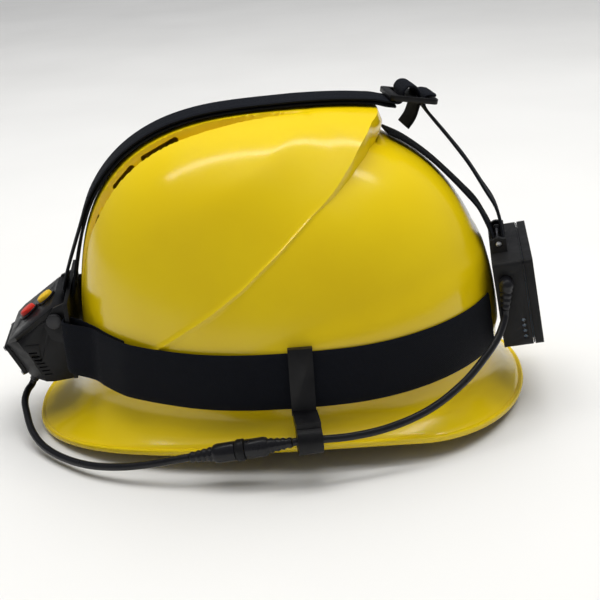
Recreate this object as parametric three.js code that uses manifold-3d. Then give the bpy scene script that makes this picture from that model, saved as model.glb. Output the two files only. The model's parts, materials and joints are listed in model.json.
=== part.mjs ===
// A miner's cap lamp on its safety helmet: a tilting head lamp, a battery pack,
// elastic straps with a tri-glide buckle, and the lead that joins lamp and pack.
// Millimetres, +Z up, -X is the wearer's front, -Y the wearer's left.
// The origin is the middle of the head opening, in the plane the brim rests on.
import * as THREE from "three";
import { mergeVertices } from "three/addons/utils/BufferGeometryUtils.js";
import Module from "manifold-3d";

const wasm = await Module();
wasm.setup();

// ---------------------------------------------------------------- driving dimensions
const AXIS_X = 10; // the dome's vertical axis
const DOME_FOOT_Z = 18; // where the dome meets the brim
const DOME_PLAN = { middle: 20, front: 139.2, rear: 103.5, half: 101, powerFront: 2.2, powerRear: 2.05 };
const BRIM_PLAN = { middle: 56.7, front: 206.7, rear: 83.3, half: 112.2, powerFront: 2.28, powerRear: 1.8 };
const REAR_HEIGHT = 139.6; // dome height behind the step
const CREST_HEIGHT = 149.5; // dome height of the raised front panel
const CREST_OVERHANG = 62; // how much longer the crest's rear half is than the dome's
const SHELL_WALL = 2.8;
const BRIM_ARCH = 11.1; // the sides stand this much above the peak's tip
const BRIM_MIDDLE_X = -5;
const BRIM_HALF_LENGTH = 145;

const HEADBAND = { half_x: 95, half_y: 75, low: 13, high: 37, wall: 1.6 };
const CROWN_CLEARANCE = 39.5; // between the straps over the head and the shell

const BAND_WIDTH = 30;
const STRAP_WIDTH = 25;
const WEBBING = 1.8; // thickness of all elastic webbing
const LIFT = 1.7; // of a webbing's middle above the shell it lies on
const SECOND_LIFT = 3.8; // of a second layer on top of it

const LAMP_WIDTH = 52;
const LAMP_PIVOT = { x: -131.2, z: 66 };
const PLATE = { front: -124.2, back: -122, half: 38, low: 34, high: 78 };
const SLOT = { inner: 29.6, outer: 33.6, low: 71, high: 74.6 };
const LENS = { width: 34, height: 16.6 };
const BUTTON = { radius: 4.7, spacing: 12.8, stand: 3.5 };
const BOLT_RADIUS = 1.6;

const PACK = { width: 70, height: 50, depth: 21.6, wall: 1.4, split: 16, turn: -15, lean: 8.5 };
const PACK_PLACE = [118.7, -30, 60]; // middle of the face that lies against the shell
const CELL = { radius: 9, length: 65, spacing: 18.2, z: -5.2 };

const LEAD_RADIUS = 2;
const GAP = 0.3; // between pieces that touch

// ---------------------------------------------------------------- solids and booleans
const rad = THREE.MathUtils.degToRad;
const V = (x, y, z) => new THREE.Vector3(x, y, z);

// A geometry's shared vertices merged and its collapsed triangles dropped.
function welded(geometry) {
  const bare = geometry.index ? geometry.toNonIndexed() : geometry.clone();
  const only = new THREE.BufferGeometry().setAttribute("position", bare.getAttribute("position"));
  const merged = mergeVertices(only, 1e-3);
  const kept = [];
  const index = merged.index.array;
  for (let i = 0; i < index.length; i += 3) {
    const [a, b, c] = [index[i], index[i + 1], index[i + 2]];
    if (a !== b && b !== c && c !== a) kept.push(a, b, c);
  }
  merged.setIndex(kept);
  return merged;
}

function toSolid(geometry) {
  const g = welded(geometry);
  const solid = new wasm.Manifold(
    new wasm.Mesh({
      numProp: 3,
      vertProperties: new Float32Array(g.attributes.position.array),
      triVerts: new Uint32Array(g.index.array),
    }),
  );
  return solid;
}

function toGeometry(solid) {
  const mesh = solid.getMesh();
  const positions = new Float32Array(mesh.numVert * 3);
  for (let i = 0; i < mesh.numVert; i++)
    positions.set(mesh.vertProperties.subarray(i * mesh.numProp, i * mesh.numProp + 3), i * 3);
  return new THREE.BufferGeometry()
    .setAttribute("position", new THREE.BufferAttribute(positions, 3))
    .setIndex(new THREE.BufferAttribute(mesh.triVerts, 1));
}

// The first geometry joined with `adds`, then cut by `cuts`.
function shaped(first, adds = [], cuts = []) {
  let solid = toSolid(first);
  for (const g of adds) solid = solid.add(toSolid(g));
  for (const g of cuts) solid = solid.subtract(toSolid(g));
  return toGeometry(solid);
}

// The frame at `point` with its local X along `x` and local Y near `y`.
function frameAt(point, x, y) {
  const X = x.clone().normalize();
  const Z = X.clone().cross(y).normalize();
  return new THREE.Matrix4().makeBasis(X, Z.clone().cross(X), Z).setPosition(...point);
}

const put = (frame, g) => g.clone().applyMatrix4(frame);
const moved = (g, x, y, z) => g.clone().translate(x, y, z);
const box = (w, d, h, x = 0, y = 0, z = 0) => new THREE.BoxGeometry(w, d, h).translate(x, y, z);

// A cylinder along X, Y or Z, centred on a point.
function rod(axis, radius, length, x = 0, y = 0, z = 0, sides = 20, radiusEnd = radius) {
  const g = new THREE.CylinderGeometry(radiusEnd, radius, length, sides);
  if (axis === "x") g.rotateZ(-Math.PI / 2);
  if (axis === "z") g.rotateX(Math.PI / 2);
  return g.translate(x, y, z);
}

// A profile of [radius, height] pairs turned about Z.
function turned(profile, sides = 24) {
  const points = profile.map(([r, h]) => new THREE.Vector2(r, h));
  return facingOut(welded(new THREE.LatheGeometry(points, sides).rotateX(Math.PI / 2)));
}

// A rectangle with rounded corners, `w` by `h`, extruded by `depth` and centred.
function roundedPlate(w, h, depth, r, steps = 4) {
  const s = new THREE.Shape();
  s.moveTo(-w / 2 + r, -h / 2);
  s.lineTo(w / 2 - r, -h / 2);
  s.absarc(w / 2 - r, -h / 2 + r, r, -Math.PI / 2, 0);
  s.absarc(w / 2 - r, h / 2 - r, r, 0, Math.PI / 2);
  s.absarc(-w / 2 + r, h / 2 - r, r, Math.PI / 2, Math.PI);
  s.absarc(-w / 2 + r, -h / 2 + r, r, Math.PI, Math.PI * 1.5);
  const g = new THREE.ExtrudeGeometry(s, { depth, bevelEnabled: false, curveSegments: steps });
  return g.translate(0, 0, -depth / 2);
}

// A side outline of [x, z] points extruded across Y by `width`, centred on Y = 0.
function profileSolid(points, width) {
  const s = new THREE.Shape(points.map(([x, z]) => new THREE.Vector2(x, z)));
  return new THREE.ExtrudeGeometry(s, { depth: width, bevelEnabled: false })
    .rotateX(Math.PI / 2)
    .translate(0, width / 2, 0);
}

// A closed solid through a row of closed sections with equal point counts.
function loft(sections, ring = false) {
  const count = sections[0].length;
  const positions = sections.flatMap((s) => s.flatMap((p) => [p.x, p.y, p.z]));
  const index = [];
  const rows = ring ? sections.length : sections.length - 1;
  for (let i = 0; i < rows; i++) {
    const a = i * count;
    const b = ((i + 1) % sections.length) * count;
    for (let j = 0; j < count; j++) {
      const k = (j + 1) % count;
      index.push(a + j, a + k, b + j, a + k, b + k, b + j);
    }
  }
  if (!ring) {
    const last = (sections.length - 1) * count;
    for (let j = 1; j < count - 1; j++) {
      index.push(0, j + 1, j);
      index.push(last, last + j, last + j + 1);
    }
  }
  const g = new THREE.BufferGeometry()
    .setAttribute("position", new THREE.Float32BufferAttribute(positions, 3))
    .setIndex(index);
  return facingOut(g);
}

function facingOut(g) {
  if (signedVolume(g) < 0) g.setIndex(Array.from(g.index.array).reverse());
  return g;
}

function signedVolume(g) {
  const p = g.attributes.position;
  const [a, b, c] = [V(), V(), V()];
  let sum = 0;
  for (let i = 0; i < g.index.count; i += 3) {
    a.fromBufferAttribute(p, g.index.getX(i));
    b.fromBufferAttribute(p, g.index.getX(i + 1));
    c.fromBufferAttribute(p, g.index.getX(i + 2));
    sum += a.dot(b.cross(c)) / 6;
  }
  return sum;
}

// A flat ribbon whose sections stand at `frames`: {at, across, out}.
function ribbon(frames, width, thickness) {
  return loft(
    frames.map(({ at, across, out }) => {
      const w = across.clone().normalize().multiplyScalar(width / 2);
      const t = out.clone().normalize().multiplyScalar(thickness / 2);
      return [
        at.clone().sub(w).sub(t),
        at.clone().add(w).sub(t),
        at.clone().add(w).add(t),
        at.clone().sub(w).add(t),
      ];
    }),
  );
}

// A round tube along a smooth curve through points.
function tube(points, radius, sides = 8, steps = 40) {
  const circle = new THREE.Shape();
  for (let i = 0; i < sides; i++) {
    const a = (i / sides) * 2 * Math.PI;
    if (i === 0) circle.moveTo(radius * Math.cos(a), radius * Math.sin(a));
    else circle.lineTo(radius * Math.cos(a), radius * Math.sin(a));
  }
  return new THREE.ExtrudeGeometry(circle, {
    steps,
    extrudePath: new THREE.CatmullRomCurve3(points),
    bevelEnabled: false,
  });
}

// ---------------------------------------------------------------- materials
const finish = (color, roughness, metalness = 0) => ({ color, roughness, metalness });
const YELLOW_ABS = finish(0xe8c31a, 0.22);
const BLACK_PLASTIC = finish(0x1b1c1e, 0.5);
const BLACK_RUBBER = finish(0x121315, 0.75);
const WEBBING_BLACK = finish(0x14161c, 0.85);
const STEEL = finish(0xb9bbbd, 0.3, 1);
const ALUMINIUM = finish(0x2a2b2d, 0.45, 0.8);
const CLEAR = finish(0xe8eef2, 0.05);
const MIRROR = finish(0xf0f0f0, 0.05, 1);
const BOARD = finish(0x1f6b35, 0.5);
const CELL_WRAP = finish(0x2f7fb5, 0.35);
const RED = finish(0xc4281c, 0.4);
const AMBER = finish(0xe0b010, 0.4);
const GREY_PLASTIC = finish(0x4a4d50, 0.55);
const FOAM = finish(0x3a3c40, 0.9);

const part = new THREE.Group();

function addNode(parent, name, geometry, look) {
  const mesh = new THREE.Mesh(welded(geometry), new THREE.MeshStandardMaterial(look));
  mesh.name = name;
  parent.add(mesh);
  return mesh;
}

// ---------------------------------------------------------------- helmet shape
// Distance from the dome's axis to an egg-shaped outline, in the direction `turn`.
function reach(plan, turn) {
  let low = 0;
  let high = 230;
  for (let i = 0; i < 40; i++) {
    const r = (low + high) / 2;
    const x = AXIS_X + r * Math.cos(turn) - plan.middle;
    const y = Math.abs(r * Math.sin(turn));
    const power = x < 0 ? plan.powerFront : plan.powerRear;
    const length = x < 0 ? plan.front : plan.rear;
    const value = (Math.abs(x) / length) ** power + (y / plan.half) ** power;
    if (value < 1) low = r;
    else high = r;
  }
  return (low + high) / 2;
}

const brimEdgeZ = (x) => BRIM_ARCH * (1 - ((x - BRIM_MIDDLE_X) / BRIM_HALF_LENGTH) ** 2);

// A point of the dome at plan angle `turn` and rise angle `rise` (0 foot, 90 degrees crown),
// `crest` 0 on the rear dome and 1 on the raised front panel, moved in by `inset`.
function domePoint(turn, rise, crest, inset = 0) {
  const c = Math.cos(turn);
  const power = c < 0 ? 2.5 + 0.634 * c * c : 2.5 - 0.15 * c * c;
  const overhang = c > 0 ? CREST_OVERHANG * c * c * crest : 0;
  const height = THREE.MathUtils.lerp(REAR_HEIGHT, CREST_HEIGHT, crest) - inset;
  const radius = reach(DOME_PLAN, turn) + overhang - inset;
  const flat = radius * Math.max(0, Math.cos(rise)) ** (2 / power);
  return V(AXIS_X + flat * c, flat * Math.sin(turn), DOME_FOOT_Z + height * Math.sin(rise) ** (2 / power));
}

// The step runs from the crown forward and down to the brim's front on both sides.
// Its rise angle at plan angles counted from the rear, in degrees.
const STEP_LINE = [
  [0, 68.9], [15, 68.5], [41, 66.8], [53, 63.8], [63, 60.3], [69, 57.3], [74, 54.8], [78, 52.5],
  [84.5, 48.9], [90, 46], [93, 43.9], [98, 40.2], [102.4, 36.6], [106.5, 33.4], [110.5, 30.2],
  [114, 27.1], [118, 24.2], [123, 20.5], [129, 16.6], [134.5, 13.2], [152, 4], [162, 0], [180, 0],
];
const STEP_TOP_EXTRA = [
  [0, 9], [15, 8.6], [32, 7.2], [48, 5.3], [57, 3.8], [64, 2.5], [69, 1.6], [74, 0.9], [80, 0.3], [90, 0], [180, 0],
];
const STEP_SIZE = [[0, 1], [40, 1], [60, 0.85], [75, 0.45], [88, 0.12], [97, 0], [180, 0]];
function lookUp(table, value) {
  for (let i = 1; i < table.length; i++) {
    const [x0, y0] = table[i - 1];
    const [x1, y1] = table[i];
    if (value <= x1) return y0 + ((y1 - y0) * (value - x0)) / (x1 - x0);
  }
  return table[table.length - 1][1];
}

function smooth(t) {
  const u = Math.min(1, Math.max(0, t));
  return u * u * (3 - 2 * u);
}

// The shell's outer surface at a plan angle: points from the dome's foot to the crown.
const ROWS_BELOW = 6;
const ROWS_ABOVE = 7;
function meridian(turn, inset) {
  const fromRear = 180 - Math.abs(((((turn * 180) / Math.PI) % 360) + 360) % 360 - 180);
  const foot = lookUp(STEP_LINE, fromRear);
  const top = foot + lookUp(STEP_TOP_EXTRA, fromRear);
  const size = lookUp(STEP_SIZE, fromRear);
  const points = [];
  for (let i = 0; i <= ROWS_BELOW; i++)
    points.push(domePoint(turn, rad(foot * (i / ROWS_BELOW) ** 1.6), 0, inset));
  for (let i = 0; i <= ROWS_ABOVE; i++) {
    const rise = top + ((90 - top) * i) / ROWS_ABOVE;
    const crest = size + (1 - size) * smooth((rise - top) / Math.min(30, 90 - top));
    points.push(domePoint(turn, rad(rise), crest, inset));
  }
  return points;
}

// One closed section of the shell: up the outside from the brim's edge, down the inside.
function shellSection(turn) {
  const edge = reach(BRIM_PLAN, turn);
  const wall = reach(DOME_PLAN, turn);
  const at = (r, z) => V(AXIS_X + r * Math.cos(turn), r * Math.sin(turn), z);
  const edgeZ = brimEdgeZ(AXIS_X + edge * Math.cos(turn));
  const width = edge - wall;
  const rootZ = DOME_FOOT_Z;
  const topOf = (f) => edgeZ + 3 + (rootZ - edgeZ - 1) * (1 - f) ** 1.4;
  const outside = meridian(turn, 0);
  const inside = meridian(turn, SHELL_WALL);
  inside[inside.length - 1].x = AXIS_X;
  return [
    at(edge - 1, edgeZ),
    at(edge, edgeZ + 1),
    at(edge, edgeZ + 2.4),
    at(edge - 1, edgeZ + 3),
    at(wall + width * 0.6, topOf(0.6)),
    at(wall + width * 0.25, topOf(0.25)),
    ...outside,
    ...inside.slice(1).reverse(),
    at(wall - SHELL_WALL, rootZ - 2),
    at(wall + width * 0.25, topOf(0.25) - 2.6),
    at(wall + width * 0.6, topOf(0.6) - 2.6),
  ];
}

const SHELL_SIDES = 60;
function helmetShell() {
  const sections = [];
  for (let i = 0; i < SHELL_SIDES; i++) sections.push(shellSection((i / SHELL_SIDES) * 2 * Math.PI));
  return loft(sections, true);
}
addNode(part, "helmet_shell", helmetShell(), YELLOW_ABS);

// ---------------------------------------------------------------- lying on the shell
// The shell's outer surface at plan angle `turn` and height `z`.
function wallPoint(turn, z) {
  const rows = meridian(turn, 0);
  for (let i = 1; i < rows.length; i++)
    if (rows[i].z >= z) {
      const share = (z - rows[i - 1].z) / (rows[i].z - rows[i - 1].z);
      return rows[i - 1].clone().lerp(rows[i], share);
    }
  return rows[rows.length - 1].clone();
}

// Where something lies `lift` off the wall, with the wall's own directions there.
function onWall(turn, z, lift) {
  const up = wallPoint(turn, z + 8).sub(wallPoint(turn, z - 8)).normalize();
  const side = wallPoint(turn + 0.05, z).sub(wallPoint(turn - 0.05, z)).normalize();
  const out = side.clone().cross(up).normalize();
  return { at: wallPoint(turn, z).addScaledVector(out, lift), across: up, side, out };
}

// A strap through stations {at, across}, rounded between them.
function strap(stations, width, perSpan = 3, thickness = WEBBING) {
  const curve = new THREE.CatmullRomCurve3(stations.map((s) => s.at), false, "centripetal");
  const spans = stations.length - 1;
  const frames = [];
  for (let i = 0; i <= spans * perSpan; i++) {
    const t = i / (spans * perSpan);
    const first = Math.min(spans - 1, Math.floor(i / perSpan));
    const across = stations[first].across.clone().lerp(stations[first + 1].across, i / perSpan - first);
    const out = curve.getTangent(t).cross(across).normalize();
    frames.push({ at: curve.getPoint(t), across, out });
  }
  return ribbon(frames, width, thickness);
}

const bandHeight = (turn) =>
  52 - 4.5 * Math.sin(turn) ** 4 - (Math.cos(turn) > 0 ? 2 * Math.cos(turn) ** 2 : 3 * Math.sin(2 * turn) ** 2);

// Half of the band round the shell: folded through the lamp plate's slot at the front,
// then along the wall until it goes under the battery pack. `side` is -1 left, 1 right.
function band(side, endTurn) {
  const onBand = (degrees, lift) => onWall(rad(degrees) * side, bandHeight(rad(degrees)), lift);
  const free = (x, y) => ({ at: V(x, y * side, 53), across: V(0, 0, 1) });
  const stations = [
    onBand(148, LIFT),
    onBand(154, LIFT),
    onBand(160, LIFT),
    free(-118.9, 34.6),
    free(-122.1, 31.7),
    free(-125, 32.6),
    free(-126, 35.2),
    free(-125.4, 38.8),
    onBand(159, SECOND_LIFT + 0.5),
    onBand(155, SECOND_LIFT),
    onBand(147, SECOND_LIFT),
    onBand(142, LIFT + 1),
  ];
  for (let degrees = 136; degrees > endTurn; degrees -= 8) stations.push(onBand(degrees, LIFT));
  stations.push(onBand(endTurn, LIFT));
  return strap(stations, BAND_WIDTH);
}
addNode(part, "head_band_left", band(-1, 29), WEBBING_BLACK);
addNode(part, "head_band_right", band(1, 0.5), WEBBING_BLACK);

// The outline of the shell over its middle, from the lamp plate back to the step.
function crownLine(lift) {
  const front = meridian(Math.PI, 0).filter((p) => p.z > 84);
  const rear = meridian(0, 0).slice(ROWS_BELOW + 1, -1).reverse();
  const line = [...front, ...rear];
  return line.map((p, i) => {
    const before = line[Math.max(0, i - 1)];
    const after = line[Math.min(line.length - 1, i + 1)];
    const along = after.clone().sub(before).normalize();
    return V(p.x - along.z * lift, 0, p.z + along.x * lift);
  });
}

// The strap over the crown: doubled, folded round the lamp plate's top bar at the front
// and threaded through the tri-glide buckle at the back, where its tail hangs down.
function topStrap() {
  const flat = (x, z) => V(x, 0, z);
  const under = crownLine(LIFT).reverse();
  const over = crownLine(SECOND_LIFT);
  const points = [
    flat(67.2, 163.7),
    flat(62, 164.7),
    ...under,
    flat(-120.2, 78),
    flat(-121, 73.6),
    flat(-123.3, 71.9),
    flat(-125.6, 73.3),
    flat(-126, 76.5),
    flat(-125, 80.8),
    ...over,
    flat(63.5, 166.8),
    flat(69.7, 165.8),
    flat(71.6, 168.4),
    flat(71.8, 171.7),
    flat(74.3, 174.1),
    flat(78, 173.7),
    flat(80.3, 170.8),
    flat(81, 166.4),
    flat(79.8, 162),
    flat(77.4, 156),
    flat(73.6, 151),
  ];
  return strap(points.map((at) => ({ at, across: V(0, 1, 0) })), STRAP_WIDTH, 2);
}
addNode(part, "top_strap", topStrap(), WEBBING_BLACK);

// A flat plate with two slots and a bar between them.
const BUCKLE = frameAt([77, 0, 167.3], V(-0.985, 0, 0.174), V(0, 1, 0));
addNode(
  part,
  "triglide_buckle",
  put(
    BUCKLE,
    shaped(roundedPlate(27, 33, 3, 3), [], [
      box(5.9, 27, 8, 5.7, 0, 0),
      box(5.9, 27, 8, -5.7, 0, 0),
    ]),
  ),
  BLACK_PLASTIC,
);

// ---------------------------------------------------------------- battery pack
// Local X points away from the shell, local Y to the wearer's right, local Z up.
const outward = V(Math.cos(rad(PACK.turn)), Math.sin(rad(PACK.turn)), 0);
const sideways = V(-outward.y, outward.x, 0);
const PACK_FRAME = frameAt(
  PACK_PLACE,
  outward.clone().multiplyScalar(Math.cos(rad(PACK.lean))).add(V(0, 0, Math.sin(rad(PACK.lean)))),
  sideways,
);
const BAR = { out: 5.2, up: 29.8, radius: 1.6, length: 35 };

// A closed box along local X between two depths, with its vertical and long edges rounded.
const packBlock = (from, to, shrink, r) =>
  roundedPlate(PACK.height - 2 * shrink, PACK.width - 2 * shrink, to - from, r)
    .rotateY(Math.PI / 2)
    .translate((from + to) / 2, 0, 0);
const packScrews = [-31.2, 31.2].map((y) => [y, 21.2]);
const lug = (y) =>
  shaped(box(8.4, 3, 8, BAR.out, y, PACK.height / 2 + 3.4), [rod("y", 4.2, 3, BAR.out, y, BAR.up - 0.6)]);
const barBore = rod("y", BAR.radius + 0.15, 50, BAR.out, 0, BAR.up, 16);
const glandStem = rod("y", 3.4, 6, 6, -PACK.width / 2, 14, 16);
const lightHoles = [0, 1, 2, 3].map((i) => rod("y", 1.3, 6, 12.4, -PACK.width / 2, -9.5 - 3.2 * i, 10));

addNode(
  part,
  "battery_case",
  put(
    PACK_FRAME,
    shaped(
      packBlock(0, PACK.split, 0, 2.5),
      [lug(-15.8), lug(15.8), ...packScrews.map(([y, z]) => rod("x", 2.6, 13, 7.2, y, z, 10))],
      [
        shaped(packBlock(PACK.wall, 30, PACK.wall, 1.5), [], packScrews.map(([y, z]) => rod("x", 2.6, 40, 10, y, z, 10))),
        barBore,
        rod("y", 2.4, 8, 6, -PACK.width / 2, 14, 12),
        ...lightHoles,
        ...packScrews.map(([y, z]) => rod("x", 1, 14, 13, y, z, 8)),
      ],
    ),
  ),
  BLACK_PLASTIC,
);
addNode(
  part,
  "pack_gasket",
  put(
    PACK_FRAME,
    shaped(packBlock(PACK.split + 0.2, PACK.split + 0.8, 0.6, 2), [], [
      packBlock(PACK.split - 2, PACK.split + 3, 1.5, 1.5),
    ]),
  ),
  BLACK_RUBBER,
);
addNode(
  part,
  "battery_cover",
  put(
    PACK_FRAME,
    shaped(
      packBlock(PACK.split + 1, PACK.depth, 0, 2.5),
      [],
      [
        shaped(packBlock(0, PACK.depth - 1.4, PACK.wall, 1.5), [], packScrews.map(([y, z]) => rod("x", 2.6, 60, 10, y, z, 10))),
        ...packScrews.map(([y, z]) => rod("x", 1.1, 30, 15, y, z, 8)),
        ...packScrews.map(([y, z]) => rod("x", 2, 2.4, PACK.depth, y, z, 12)),
      ],
    ),
  ),
  BLACK_PLASTIC,
);
packScrews.forEach(([y, z], i) =>
  addNode(
    part,
    `cover_screw_${i + 1}`,
    put(
      PACK_FRAME,
      shaped(rod("x", 1.7, 0.9, PACK.depth - 0.65, y, z, 12), [rod("x", 0.7, 10, PACK.depth - 5.8, y, z, 8)]),
    ),
    STEEL,
  ),
);
[-1, 1].forEach((row, i) =>
  addNode(
    part,
    `cell_${i + 1}`,
    put(PACK_FRAME, rod("y", CELL.radius, CELL.length, 10.8, 0, CELL.z + (row * CELL.spacing) / 2, 24)),
    CELL_WRAP,
  ),
);
addNode(
  part,
  "protection_board",
  put(PACK_FRAME, shaped(box(12, 50, 1.4, 10.6, 0, 15.4), [box(4, 6, 1.6, 9, -12, 16.7), box(5, 8, 1.4, 12, 8, 16.6)])),
  BOARD,
);
addNode(
  part,
  "charge_light_pipe",
  put(
    PACK_FRAME,
    shaped(box(3.2, 0.5, 12.6, 12.4, -PACK.width / 2 + 1.95, -14.3), [0, 1, 2, 3].map((i) =>
      rod("y", 1, 1.9, 12.4, -PACK.width / 2 + 1, -9.5 - 3.2 * i, 10),
    )),
  ),
  CLEAR,
);
addNode(part, "strap_bar", put(PACK_FRAME, rod("y", BAR.radius, BAR.length, BAR.out, 0, BAR.up, 16)), STEEL);

// The strap from the buckle down to the pack's bar and back up along the shell.
function rearStrap() {
  const turnTo = (share) => V(0, 1, 0).lerp(sideways, Math.max(0, share)).normalize();
  const bar = V(BAR.out, 0, BAR.up).applyMatrix4(PACK_FRAME);
  const round = (angle) => {
    const c = Math.cos(rad(angle)) * 2.95;
    return bar.clone().addScaledVector(outward, c).add(V(0, 0, Math.sin(rad(angle)) * 2.95));
  };
  const down = [
    [89.8, 0, 167.9], [86.2, 0, 168.6], [84, 0, 168.1], [83.5, 0, 166.2], [83.8, 0, 163.1],
    [85.9, -0.5, 159.4], [99, -4.8, 142], [108, -9.7, 129], [115, -15, 116.4], [121, -20.5, 105],
  ];
  const up = [
    [113, -23.5, 101.5], [110, -19.8, 107.5], [104, -15.3, 114.8], [96.5, -10.9, 123.2],
    [86, -7.5, 133.8], [72.5, -4.4, 144.4], [62.5, -3.2, 149.9],
  ];
  const at = (list, from, to) =>
    list.map((p, i) => ({ at: V(...p), across: turnTo(from + ((to - from) * i) / (list.length - 1)) }));
  const around = [20, -25, -70, -110, -155, 160].map((angle) => ({ at: round(angle), across: turnTo(1) }));
  return strap([...at(down, -0.3, 0.8), ...around, ...at(up, 0.8, 0.1)], STRAP_WIDTH, 3);
}
addNode(part, "rear_strap", rearStrap(), WEBBING_BLACK);

// ---------------------------------------------------------------- cap lamp
const P = LAMP_PIVOT;
const lampBack = PLATE.front - 0.7;
const arc = [0, 20, 40, 60, 80, 100].map((a) => [
  P.x + (lampBack - P.x) * Math.cos(rad(a)),
  P.z + (lampBack - P.x) * Math.sin(rad(a)),
]);
const LAMP_OUTLINE = [[lampBack, 29], ...arc, [-158.4, 54.6], [-160.4, 51], [-151, 31], [-146.5, 29], [-137, 28]];
const LAMP_CAVITY = [
  [-127.2, 31.2], [-127.2, 59.5], [-131.8, 61.8], [-134, 63.8], [-136.1, 66.8],
  [-156.2, 53.3], [-157.7, 49.6], [-149.2, 31.4], [-145.6, 31],
];
// Front face: local X to the wearer's left, local Y up the face, local Z the way the light goes.
const FACE = frameAt([-155.7, 0, 41], V(0, -1, 0), V(-0.425, 0, 0.905));
// Sloping top: local X back and up the slope, local Z out of it.
const SLOPE = frameAt([-142.9, 0, 65.05], V(0.829, 0, 0.559), V(0, 1, 0));
const corner = (side, x, z) =>
  put(FACE, profileSolid([[x * side, 0.5], [27.5 * side, 0.5], [27.5 * side, z]], 60));
const buttonSpots = [-BUTTON.spacing / 2, BUTTON.spacing / 2];
const GLAND = { at: V(-147, -8, 29.6), way: V(-0.5, -0.2, -0.84).normalize() };
const along = (from, way, distance) => from.clone().addScaledVector(way, distance);
const glandRod = (radius, from, to, radiusEnd = radius, sides = 14) => {
  const turnTo = new THREE.Quaternion().setFromUnitVectors(V(0, 0, 1), GLAND.way);
  return rod("z", radius, to - from, 0, 0, (from + to) / 2, sides, radiusEnd)
    .applyQuaternion(turnTo)
    .translate(...GLAND.at);
};
const bezelScrews = [-1, 1].flatMap((a) => [-1, 1].map((b) => [a * 17.1, b * 8.7]));
const onFace = (g) => put(FACE, g);
const onSlope = (g) => put(SLOPE, g);

addNode(
  part,
  "lamp_housing",
  shaped(
    profileSolid(LAMP_OUTLINE, LAMP_WIDTH),
    [box(8, 1.2, 11, -146, -LAMP_WIDTH / 2, 46), box(8, 1.2, 11, -146, LAMP_WIDTH / 2, 46)],
    [
      corner(-1, 18.56, -9.7),
      corner(1, 18.56, -9.7),
      shaped(profileSolid(LAMP_CAVITY, LAMP_WIDTH - 4), [], [corner(-1, 15.9, -12.7), corner(1, 15.9, -12.7)]),
      onFace(roundedPlate(LENS.width + 1, LENS.height + 1, 6, 4)),
      ...buttonSpots.map((p) => onSlope(rod("z", BUTTON.radius + GAP, 7, p, 0, 0, 24))),
      rod("y", BOLT_RADIUS + GAP, LAMP_WIDTH + 4, P.x, 0, P.z, 16),
      glandRod(2.4, -6, 4),
      ...bezelScrews.map(([x, y]) => onFace(rod("z", 0.95, 6, x, y, 0, 8))),
    ],
  ),
  BLACK_PLASTIC,
);
addNode(
  part,
  "lamp_bezel",
  onFace(
    shaped(moved(roundedPlate(38, 21, 2.2, 2.5), 0, 0, 1.4), [], [
      moved(roundedPlate(31.5, 14, 6, 3.5), 0, 0, 1.4),
      ...bezelScrews.map(([x, y]) => rod("z", 0.95, 6, x, y, 1, 8)),
    ]),
  ),
  BLACK_PLASTIC,
);
bezelScrews.forEach(([x, y], i) =>
  addNode(
    part,
    `bezel_screw_${i + 1}`,
    onFace(shaped(rod("z", 1.5, 0.9, x, y, 3.15, 12), [rod("z", 0.65, 4.4, x, y, 0.8, 8)])),
    STEEL,
  ),
);
addNode(part, "lamp_lens", onFace(moved(roundedPlate(LENS.width, LENS.height, 1.6, 3.6), 0, 0, -0.8)), CLEAR);
addNode(
  part,
  "lens_gasket",
  onFace(
    shaped(moved(roundedPlate(LENS.width - 0.4, LENS.height - 0.4, 0.7, 3.4), 0, 0, -2.3), [], [
      moved(roundedPlate(31, 13.6, 4, 3), 0, 0, -2.3),
    ]),
  ),
  BLACK_RUBBER,
);
// A reflector cup: a thin wall turned about its axis, open at both ends.
const cup = turned(
  [[7.9, -3], [7.1, -3], [6.2, -5.4], [4.6, -8.2], [2.2, -10.9], [3.2, -11.2], [5.5, -8.6], [7.1, -5.6], [7.9, -3]],
  24,
);
["spot", "flood"].forEach((name, i) => {
  const x = i === 0 ? 8.1 : -8.1;
  addNode(part, `${name}_reflector`, onFace(moved(cup, x, 0, 0)), MIRROR);
});
addNode(
  part,
  "led_board",
  onFace(
    shaped(box(32, 13, 1.6, 0, 0, -12.4), [
      rod("z", 1.5, 1.6, 8.1, 0, -10.9, 12, 0.9),
      rod("z", 1.5, 1.6, -8.1, 0, -10.9, 12, 0.9),
    ]),
  ),
  BOARD,
);
addNode(
  part,
  "heat_sink",
  onFace(shaped(box(31, 12, 1.6, 0, 0, -14.4), [-12, -8, -4, 0, 4, 8, 12].map((x) => box(1.4, 12, 3.6, x, 0, -16.6)))),
  ALUMINIUM,
);
addNode(
  part,
  "driver_board",
  shaped(box(1.4, 40, 22, -129.6, 0, 45), [box(2.6, 8, 8, -131.2, -10, 50), box(3.4, 6, 6, -131.4, 8, 41)]),
  BOARD,
);
addNode(
  part,
  "switch_board",
  onSlope(shaped(box(17, 14, 1, -2.2, 0, -5), [-BUTTON.spacing / 2, 4].map((p) => box(4.4, 5, 1.2, p, 0, -4.1)))),
  BOARD,
);
["red_button", "yellow_button"].forEach((name, i) => {
  const r = BUTTON.radius;
  const profile = [[0, -2.1], [r, -2.1], [r, BUTTON.stand - 0.7], [r - 0.7, BUTTON.stand], [0, BUTTON.stand]];
  addNode(part, name, onSlope(moved(turned(profile, 24), buttonSpots[i], 0, 0)), i === 0 ? RED : AMBER);
  const collar = turned([[r + GAP, 0.3], [r + 1.5, 0.3], [r + 1.3, 1.5], [r + GAP, 1.5], [r + GAP, 0.3]], 24);
  addNode(part, `${name}_collar`, onSlope(moved(collar, buttonSpots[i], 0, 0)), BLACK_RUBBER);
});
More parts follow.
